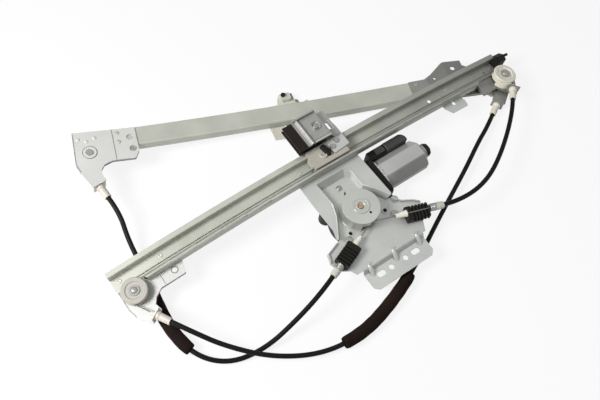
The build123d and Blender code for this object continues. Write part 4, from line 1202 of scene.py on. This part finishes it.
@dataclass
class BracketEdges:
    """The folded rims, steps and collars of the four pulley brackets, in millimetres; rims, edge lines, step
    lines and most rings are dark with painted shade.
    """

    rim: float = 0.9
    drop: float = 3.6
    sunk: float = 0.1
    shade_line_height: float = 0.2
    step: Pair = (0.8, 0.35)
    ring: Point = (4.9, 8.2, 9.2)
    rims: dict[str, tuple[RailPlace, list[Path]]] = field(default_factory=lambda: {
        "rail_a_lower": (A_LOWER, [
            [(-16.5, 27.5), (-16.5, -12), (-13.6, -25)],
            [(12.3, -23.2), (16.7, -16.4), (26.9, -10.5), (59.7, -10.5), (64.4, 5.5)]]),
        "rail_a_upper": (A_UPPER, [
            [(16.5, 25.5), (16.5, -9.6)],
            [(-19.4, -8.5), (-41.5, -8.5), (-41.5, 25)]]),
        "rail_b_lower": (B_LOWER, [
            [(17.0, 30.4), (18.5, -14), (14.6, -26)],
            [(-9.5, -33), (-9.5, -26.2), (-13.6, -19.6), (-25, -15), (-53, -16), (-58.5, -6.8),
             (-58.5, 1.5)]]),
        "rail_b_upper": (B_UPPER, [
            [(-16.5, 19.4), (-16.5, -11.6)],
            [(8.3, -15.4), (16, -11.4), (60, -8.4), (90, 0)]]),
    })
    shade_line_at: tuple[str, str] = ("rail_a_lower", "rail_b_lower")
    ear_from: Pair = (51.0, -1.0)
    tab_from: Pair = (52.0, -2.7)
    steps: dict[str, Path] = field(default_factory=lambda: {
        "rail_b_lower": [(-30.4, 28.4), (-30.0, -15.0)],
        "rail_a_lower": [(33.7, 2.4), (33.7, -10.4)],
    })

    def build(self) -> list[bpy.types.Object]:
        """Makes the rims, the edge lines, the steps and the collars, darkened with painted shade.

        Returns:
            The pieces.
        """
        made = []
        for name, (end, paths) in self.rims.items():
            levels = (-SHEET - self.drop, -SHEET) if end.rail.opens_up else (0.0, self.drop)
            walls = [upright_wall(f"{name}_rim", end.spot, path, levels, self.rim, PAINTED_SHADE_BRACKET)
                     for path in paths]
            made.append(join_as(f"{name}_bracket_rim", walls))
        wide, high = self.step
        # dark edge lines and step lines of painted shade
        strips = [(name, "cut_edge", self.rims[name][1][0], self.shade_line_height, self.rim)
                  for name in self.shade_line_at]
        strips += [(name, "bracket_step", path, high, wide) for name, path in self.steps.items()]
        for name, label, path, height, width in strips:
            end = self.rims[name][0]
            levels = (-self.sunk, height) if end.rail.opens_up else (-SHEET - height, self.sunk - SHEET)
            made.append(upright_wall(f"{name}_{label}", end.spot, path, levels, width, PAINTED_SHADE_BRACKET))
        return [settle(piece, "base") for piece in made + self._collars()]

    def _collars(self) -> list[bpy.types.Object]:
        """Makes the pressed ring round the lower B pulley's rivet, lightened with painted light, a dark ring
        of painted shade round it, and dark rings of painted shade round two fixing holes.

        Returns:
            The pieces.
        """
        inner, middle, outer = self.ring
        face = RAIL_B.place(B_LOWER.along, B_LOWER.across, -SHEET) @ FLIP
        (ear_x, ear_y), (tab_x, tab_y) = self.ear_from, self.tab_from
        ear = RAIL_A.place(A_LOWER.along + ear_x, A_LOWER.across + ear_y, 0)
        tab = RAIL_B.place(B_LOWER.along + tab_x, B_LOWER.across + tab_y, -SHEET) @ FLIP
        made = []
        for name, place, radii, high, finish in (
            ("rail_b_lower_pressed_ring", face, (inner, middle), 0.6, PAINTED_LIGHT_BRACKET),
            ("rail_b_lower_ring_groove", face, (middle + 0.05, outer), 0.3, PAINTED_SHADE_BRACKET),
            ("rail_a_lower_hole_collar", ear, (3.4, 4.5), 0.4, PAINTED_SHADE_BRACKET),
            ("rail_b_lower_hole_collar", tab, (3.5, 4.3), 0.3, PAINTED_SHADE_BRACKET),
        ):
            ring = annulus(name, radii, high, finish)
            ring.data.transform(place)
            made.append(ring)
        return made


@dataclass
class PulleyGuide:
    """The cream moulded guide beside rail A's upper pulley, in millimetres and degrees."""

    radius: float = 17.6
    thickness: float = 1.8
    height: float = 11.0
    sweep: Pair = (188.0, 257.0)
    steps: int = 12

    def build(self) -> list[bpy.types.Object]:
        """Makes the curved wall.

        Returns:
            The piece.
        """
        path = arc((0.0, 0.0), self.radius, self.sweep, self.steps)
        guide = upright_wall("rail_a_upper_guide", A_UPPER.spot, path, (0.0, self.height), self.thickness,
                             BRIGHT_CREAM)
        return [settle(guide, "base")]


@dataclass
class RaisedPressing:
    """The raised, drilled pressing in rail B's upper bracket, in millimetres along and across the rail."""

    height: float = 9.0
    wall: float = 1.2
    foot: Path = field(default_factory=lambda: [
        (220.7, 12.2), (220.4, -6), (284, -6), (284, 14), (278, 21), (277.5, 31), (249, 32.5)])
    top: Path = field(default_factory=lambda: [
        (247.6, 28.8), (246.3, -2), (281, -2), (280.1, 14.4), (274.1, 18.4), (273.7, 26.9), (248.2, 29.2)])
    holes: list[Point] = field(default_factory=lambda: [(259, 16, 3.3), (229.8, 8.4, 2.0)])
    drill_span: Pair = (-20.0, 8.0)
    rounding: float = 0.4

    def build(self) -> list[bpy.types.Object]:
        """Makes the pressing as an open shell, thickens it inwards and cuts the holes through.

        Returns:
            The piece.
        """
        rings = [[RAIL_B.spot(*spot, level) for spot in outline]
                 for outline, level in ((self.foot, -SHEET), (self.top, -SHEET - self.height))]
        # the pressing wears painted shade
        pressing = loft("rail_b_upper_pressing", rings, PRESSING_PAINTED_SHADE, floor=False)
        thicken = pressing.modifiers.new("wall", "SOLIDIFY")
        thicken.thickness, thicken.offset = self.wall * MM, -1.0
        bake(pressing, thicken)
        close_up(pressing, self.rounding)
        low, high = self.drill_span
        for along, across, radius in self.holes:
            drill = lathe("drill", [(0, low), (radius, low), (radius, high), (0, high)], 28, PAINTED_SHADE_UPPER_BRACKET)
            drill.data.transform(RAIL_B.place(along, across, 0))
            close_up(drill)
            cut = pressing.modifiers.new("hole", "BOOLEAN")
            cut.operation, cut.object, cut.solver = "DIFFERENCE", drill, "EXACT"
            bake(pressing, cut)
            bpy.data.objects.remove(drill)
        return [settle(pressing, "base")]


@dataclass
class PocketBend:
    """The rolled bend round the drive plate's sunk pocket, in millimetres."""

    radius: float = 1.15
    level: float = 38.75
    path: Path = field(default_factory=lambda: [
        (-45, -16.4), (-29, 9), (-24, 23), (-25, 58), (18, 58), (24, 50), (25, 26), (36, 13), (45.2, -2.7)])

    def build(self) -> list[bpy.types.Object]:
        """Sweeps the bend along the pocket's upper edge.

        Returns:
            The piece.
        """
        points = [(x, y, self.level) for x, y in self.path]
        line = new_curve("pocket_bend_line", "POLY", points, self.radius, fineness=4)
        mesh = evaluated_mesh(line)
        bpy.data.objects.remove(line)
        mesh.materials.clear()
        mesh.materials.append(PLATE_STEEL.material())
        bend = add_object("pocket_bend", mesh)
        smooth(bend)
        return [settle(bend, "base")]


@dataclass
class ClampDetails:
    """The beads, folds, washer and slot rim on slider A's clamp, in millimetres from the slider; one dark
    strip is painted shade and the lower fold is lightened as a painted highlight.
    """

    face: float = 28.2
    sunk: float = 0.1
    beads: dict[str, tuple[float, float, Finish, Path]] = field(default_factory=lambda: {
        "frame": (1.3, 0.7, CLAMP_STEEL, [(-8.6, 18), (12.2, 18), (12.2, 50.5), (-8.6, 50.5), (-8.6, 18)]),
        # a dark strip of painted shade beside the ridge
        "fold": (0.9, 0.25, PAINTED_SHADE_BRACKET, [(-10.3, 15), (-10.3, 53)]),
        # the lower fold in lighter steel: a painted highlight
        "lower_fold": (1.7, 0.9, PLATE_STEEL, [(-10.4, 15.0), (14.2, 15.0)]),
        "square_washer": (10.5, 0.7, PLATE_STEEL, [(-2.2, 34), (8.2, 34)]),
    })
    ear: Path = field(default_factory=lambda: [
        (18.4, 24.6), (25.6, 24.6), (25.6, 37.4), (18.4, 37.4), (18.4, 24.6)])
    ear_levels: Pair = (17.8, 18.9)
    ear_width: float = 1.5
    notch: Pair = (-6.6, 1.5)
    notch_levels: Pair = (14.0, 16.6)
    notch_radius: float = 4.4
    notch_width: float = 2.0
    notch_sweep: Pair = (150.0, 380.0)
    notch_steps: int = 16

    def build(self) -> list[bpy.types.Object]:
        """Makes the beads, the slot's rim and the shoe's open ring.

        Returns:
            The pieces.
        """
        made = []
        for name, (wide, high, finish, path) in self.beads.items():
            levels = (self.face - self.sunk, self.face + high)
            bead = upright_wall(f"clamp_{name}", SLIDER_A.spot, path, levels, wide, finish)
            made.append(settle(bead, "slider_a"))
        ear = upright_wall("clamp_slot_ear", SLIDER_A.spot, self.ear, self.ear_levels, self.ear_width,
                           PLATE_STEEL)
        notch = arc(self.notch, self.notch_radius, self.notch_sweep, self.notch_steps)
        ring = upright_wall("shoe_open_ring", SLIDER_A.spot, notch, self.notch_levels, self.notch_width,
                            WAX_WHITE)
        return made + [settle(ear, "slider_a"), settle(ring, "slider_a")]


@dataclass
class CoverRings:
    """The turned rings round the shaft on the drum's cover, in millimetres."""

    level: float = 51.0
    rings: list[Point] = field(default_factory=lambda: [(8.9, 10.2, 0.7), (5.0, 6.3, 0.45)])

    def build(self) -> list[bpy.types.Object]:
        """Makes the rings.

        Returns:
            The pieces.
        """
        made = []
        for index, (inner, outer, high) in enumerate(self.rings):
            ring = annulus(f"drum_cover_ring_{index + 1}", (inner, outer), high, COVER_ALLOY)
            ring.data.transform(Matrix.Translation(row_spot(0, 0, self.level)))
            made.append(settle(ring, "base"))
        return made


@dataclass
class Motor:
    """The eight-sided motor can with its end boss, and the black bearing cap, in millimetres.

    The shoulder has distances from the can's back with shares of its outline, and the boss and the knob have
    distances from the back with radii.
    """

    flat: Pair = (9.5, 5.0)
    flange: Pair = (24.0, 16.4)
    flange_flat: Pair = (15.0, 8.0)
    flange_sheet: float = 2.0
    corner: float = 0.16
    front: float = 58.0
    back: float = 127.0
    shoulder: Path = field(default_factory=lambda: [(-3.0, 1.0), (-1.2, 0.94), (0.0, 0.84)])
    boss: Path = field(default_factory=lambda: [(0.05, 11.2), (5.4, 10.7), (6.0, 10.1)])
    knob: Path = field(default_factory=lambda: [
        (5.6, 9.6), (10.6, 9.4), (12.8, 8.4), (14.0, 6.6), (14.5, 4.4)])
    seam: float = 0.05
    # facets facing this far towards -y, and not towards the ends, get painted shade
    shade_facing: float = -0.35
    shade_end_limit: float = 0.5

    def build(self) -> list[bpy.types.Object]:
        """Makes the can and the cap.

        Returns:
            The pieces.
        """
        body, flange = self._outline(MOTOR_HALF, self.flat), self._outline(self.flange, self.flange_flat)
        inner_face = self.front + self.flange_sheet
        rings = [(self.front, flange), (inner_face, flange), (inner_face + self.seam, body)]
        rings += [(self.back + x, [(y * share, z * share) for y, z in body]) for x, share in self.shoulder]
        can = self._shell("motor_can_body", rings + self._circles(body, self.boss), CAN_STEEL)
        self._paint_facet_shade(can)
        cap = self._shell("motor_end_knob", self._circles(body, self.knob), BLACK)
        return [settle(can, "base", "motor_can"),
                settle(cap, "base", "motor_bearing_cap")]

    def _paint_facet_shade(self, can: bpy.types.Object) -> None:
        """Paints shade on the can's facets on the side of the cable outlets, with a darker copy of the can's
        steel.

        Args:
            can: The can.
        """
        can.data.materials.append(CAN_PAINTED_SHADE.material())
        for face in can.data.polygons:
            if face.normal.y < self.shade_facing and abs(face.normal.x) < self.shade_end_limit:
                face.material_index = 1

    def _outline(self, half: Pair, flat: Pair) -> Path:
        """Works out an eight-sided outline with softened corners.

        Args:
            half: Half its width and half its height.
            flat: Half the length of its level and of its upright flats.

        Returns:
            Its points round the middle.
        """
        (wide, high), (top, side) = half, flat
        corners = [(top, high), (wide, side), (wide, -side), (top, -high), (-top, -high), (-wide, -side),
                   (-wide, side), (-top, high)]
        shares = (self.corner, self.corner / 3)
        ring = []
        for index, corner in enumerate(corners):
            before, after = corners[index - 1], corners[(index + 1) % len(corners)]
            steps = [(share, before) for share in shares] + [(share, after) for share in reversed(shares)]
            ring += [tuple(c + (o - c) * share for c, o in zip(corner, other)) for share, other in steps]
        return ring

    def _circles(self, ring: Path, profile: Path) -> list[tuple[float, Path]]:
        """Gives circles behind the can's back, with points in the directions of an outline's points.

        Args:
            ring: The outline.
            profile: Each circle's distance from the back and its radius.

        Returns:
            Each circle with its x.
        """
        ways = [(y / math.hypot(y, z), z / math.hypot(y, z)) for y, z in ring]
        return [(self.back + x, [(y * radius, z * radius) for y, z in ways]) for x, radius in profile]

    def _shell(self, name: str, rings: list[tuple[float, Path]], finish: Finish) -> bpy.types.Object:
        """Closes a shell over outlines along x.

        Args:
            name: The piece's name.
            rings: Each outline with its x.
            finish: The shell's finish.

        Returns:
            The piece.
        """
        mid_y, mid_z = MOTOR_MIDDLE
        return loft(name, [[row_spot(x, mid_y + y, mid_z + z) for y, z in ring] for x, ring in rings], finish)


@dataclass
class Studio:
    """A white sweep, soft lamps and the camera at the photograph's angle, in metres."""

    eye: Point = (-0.3534, -0.2486, 0.8543)
    right: Point = (0.814, -0.574, 0.088)
    up: Point = (0.481, 0.751, 0.4525)
    lens: float = 45.0
    soft_light: tuple[Colour, float] = ((0.93, 0.95, 1.0), 0.15)
    floor_half: float = 4.0
    floor_grey: float = 0.86
    floor_share: float = 0.86
    lamps: dict[str, tuple[Point, float, float]] = field(default_factory=lambda: {
        "key_lamp": ((-0.95, 0.25, 0.95), 0.45, 19.5), "fill_lamp": ((0.5, -0.5, 1.2), 1.2, 2.5)})

    def build(self) -> None:
        """Makes the camera, the world, the floor and the lamps; each lamp has a place, a side and watts."""
        scene = bpy.context.scene
        scene.view_settings.view_transform = "Standard"
        self._camera(scene)
        self._world(scene)
        self._floor()
        for name, (place, size, power) in self.lamps.items():
            data = bpy.data.lights.new(name, "AREA")
            data.size, data.energy = size, power
            turn = (-Vector(place)).to_track_quat("-Z", "Y").to_matrix().to_4x4()
            add_object(name, data).matrix_world = Matrix.Translation(place) @ turn

    def _camera(self, scene: bpy.types.Scene) -> None:
        """Puts the camera where the photograph was taken from.

        Args:
            scene: The scene.
        """
        data = bpy.data.cameras.new("photo_camera")
        data.sensor_width, data.lens, data.clip_start = 36.0, self.lens, 0.01
        x_axis = Vector(self.right).normalized()
        back = x_axis.cross(Vector(self.up)).normalized()
        turn = Matrix((x_axis, back.cross(x_axis), back)).transposed().to_4x4()
        scene.camera = add_object("photo_camera", data)
        scene.camera.matrix_world = Matrix.Translation(self.eye) @ turn

    def _world(self, scene: bpy.types.Scene) -> None:
        """Lights softly from all round, and shows white to the camera, to gloss and through glass.

        Args:
            scene: The scene.
        """
        world = bpy.data.worlds.new("studio_world")
        world.use_nodes = True
        scene.world = world
        tree = world.node_tree
        colour, strength = self.soft_light
        soft = tree.nodes["Background"]
        feed(tree, soft, {"Color": (*colour, 1.0), "Strength": strength})
        seen = add_node(tree, "ShaderNodeBackground", {"Color": (1, 1, 1, 1)})
        self._mix(tree, self._seen_share(tree), (soft, seen), "World Output")

    def _seen_share(self, tree: bpy.types.NodeTree) -> bpy.types.NodeSocket:
        """Gives 1 for rays from the camera, through gloss or through glass.

        Args:
            tree: The node tree.

        Returns:
            The socket.
        """
        rays = add_node(tree, "ShaderNodeLightPath").outputs
        share = rays["Is Camera Ray"]
        for name in ("Is Glossy Ray", "Is Transmission Ray"):
            larger = add_node(tree, "ShaderNodeMath", {0: share, 1: rays[name]}, operation="MAXIMUM")
            share = larger.outputs[0]
        return share

    def _mix(self, tree: bpy.types.NodeTree, share: bpy.types.NodeSocket,
             shaders: tuple[bpy.types.Node, bpy.types.Node], output: str) -> None:
        """Mixes two shaders into an output.

        Args:
            tree: The node tree.
            share: The socket of the second shader's share.
            shaders: Both shaders.
            output: The output node's name.
        """
        first, second = shaders
        mix = add_node(tree, "ShaderNodeMixShader", {"Fac": share, 1: first.outputs[0], 2: second.outputs[0]})
        feed(tree, tree.nodes[output], {"Surface": mix.outputs[0]})

    def _floor(self) -> None:
        """Makes the pale bench, which shows near white and keeps the shadow."""
        material = bpy.data.materials.new("pale_bench")
        material.use_nodes = True
        tree = material.node_tree
        body = tree.nodes["Principled BSDF"]
        feed(tree, body, {"Base Color": (*[self.floor_grey] * 3, 1), "Roughness": 0.9})
        glow = add_node(tree, "ShaderNodeEmission", {"Color": (1, 1, 1, 1)})
        share = add_node(tree, "ShaderNodeMath", {0: self._seen_share(tree), 1: self.floor_share},
                         operation="MULTIPLY")
        self._mix(tree, share.outputs[0], (body, glow), "Material Output")
        half = self.floor_half
        mesh = bpy.data.meshes.new("bench")
        mesh.from_pydata([(-half, -half, 0), (half, -half, 0), (half, half, 0), (-half, half, 0)], [],
                         [(0, 1, 2, 3)])
        mesh.materials.append(material)
        add_object("bench", mesh)


def dress_nodes(nodes: dict[str, bpy.types.Object]) -> None:
    """Gives every CAD node its finish.

    Args:
        nodes: The CAD nodes by name.
    """
    for finish, names in WEARERS.items():
        for name in names:
            for slot in nodes[name].material_slots:
                slot.material = finish.material()
            LOG.info("dressed %s in %s", name, finish.name)


def main() -> None:
    """Loads the frame, dresses it and adds the pieces that the solids leave plain."""
    logging.basicConfig(level=logging.INFO, format="%(message)s")
    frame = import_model()
    Studio().build()
    dress_nodes(frame["nodes"])
    conduits = Conduits()
    sleeves = FoamSleeves().build(conduits)
    made = [*sleeves.values(), *conduits.build(sleeves), *Springs().build(), *Retainers().build()]
    repeats = Repeats()
    for group in (Rivets(), LowerBracketBeads(), ConnectorPins(), MotorCrimps(), PlateDetails()):
        made += group.build(repeats)
    for group in (BracketEdges(), PulleyGuide(), RaisedPressing(), PocketBend(), ClampDetails(), CoverRings(),
                  Motor()):
        made += group.build()
    for piece in made:
        LOG.info("made %s", piece.name)


if __name__ == "__main__":
    main()
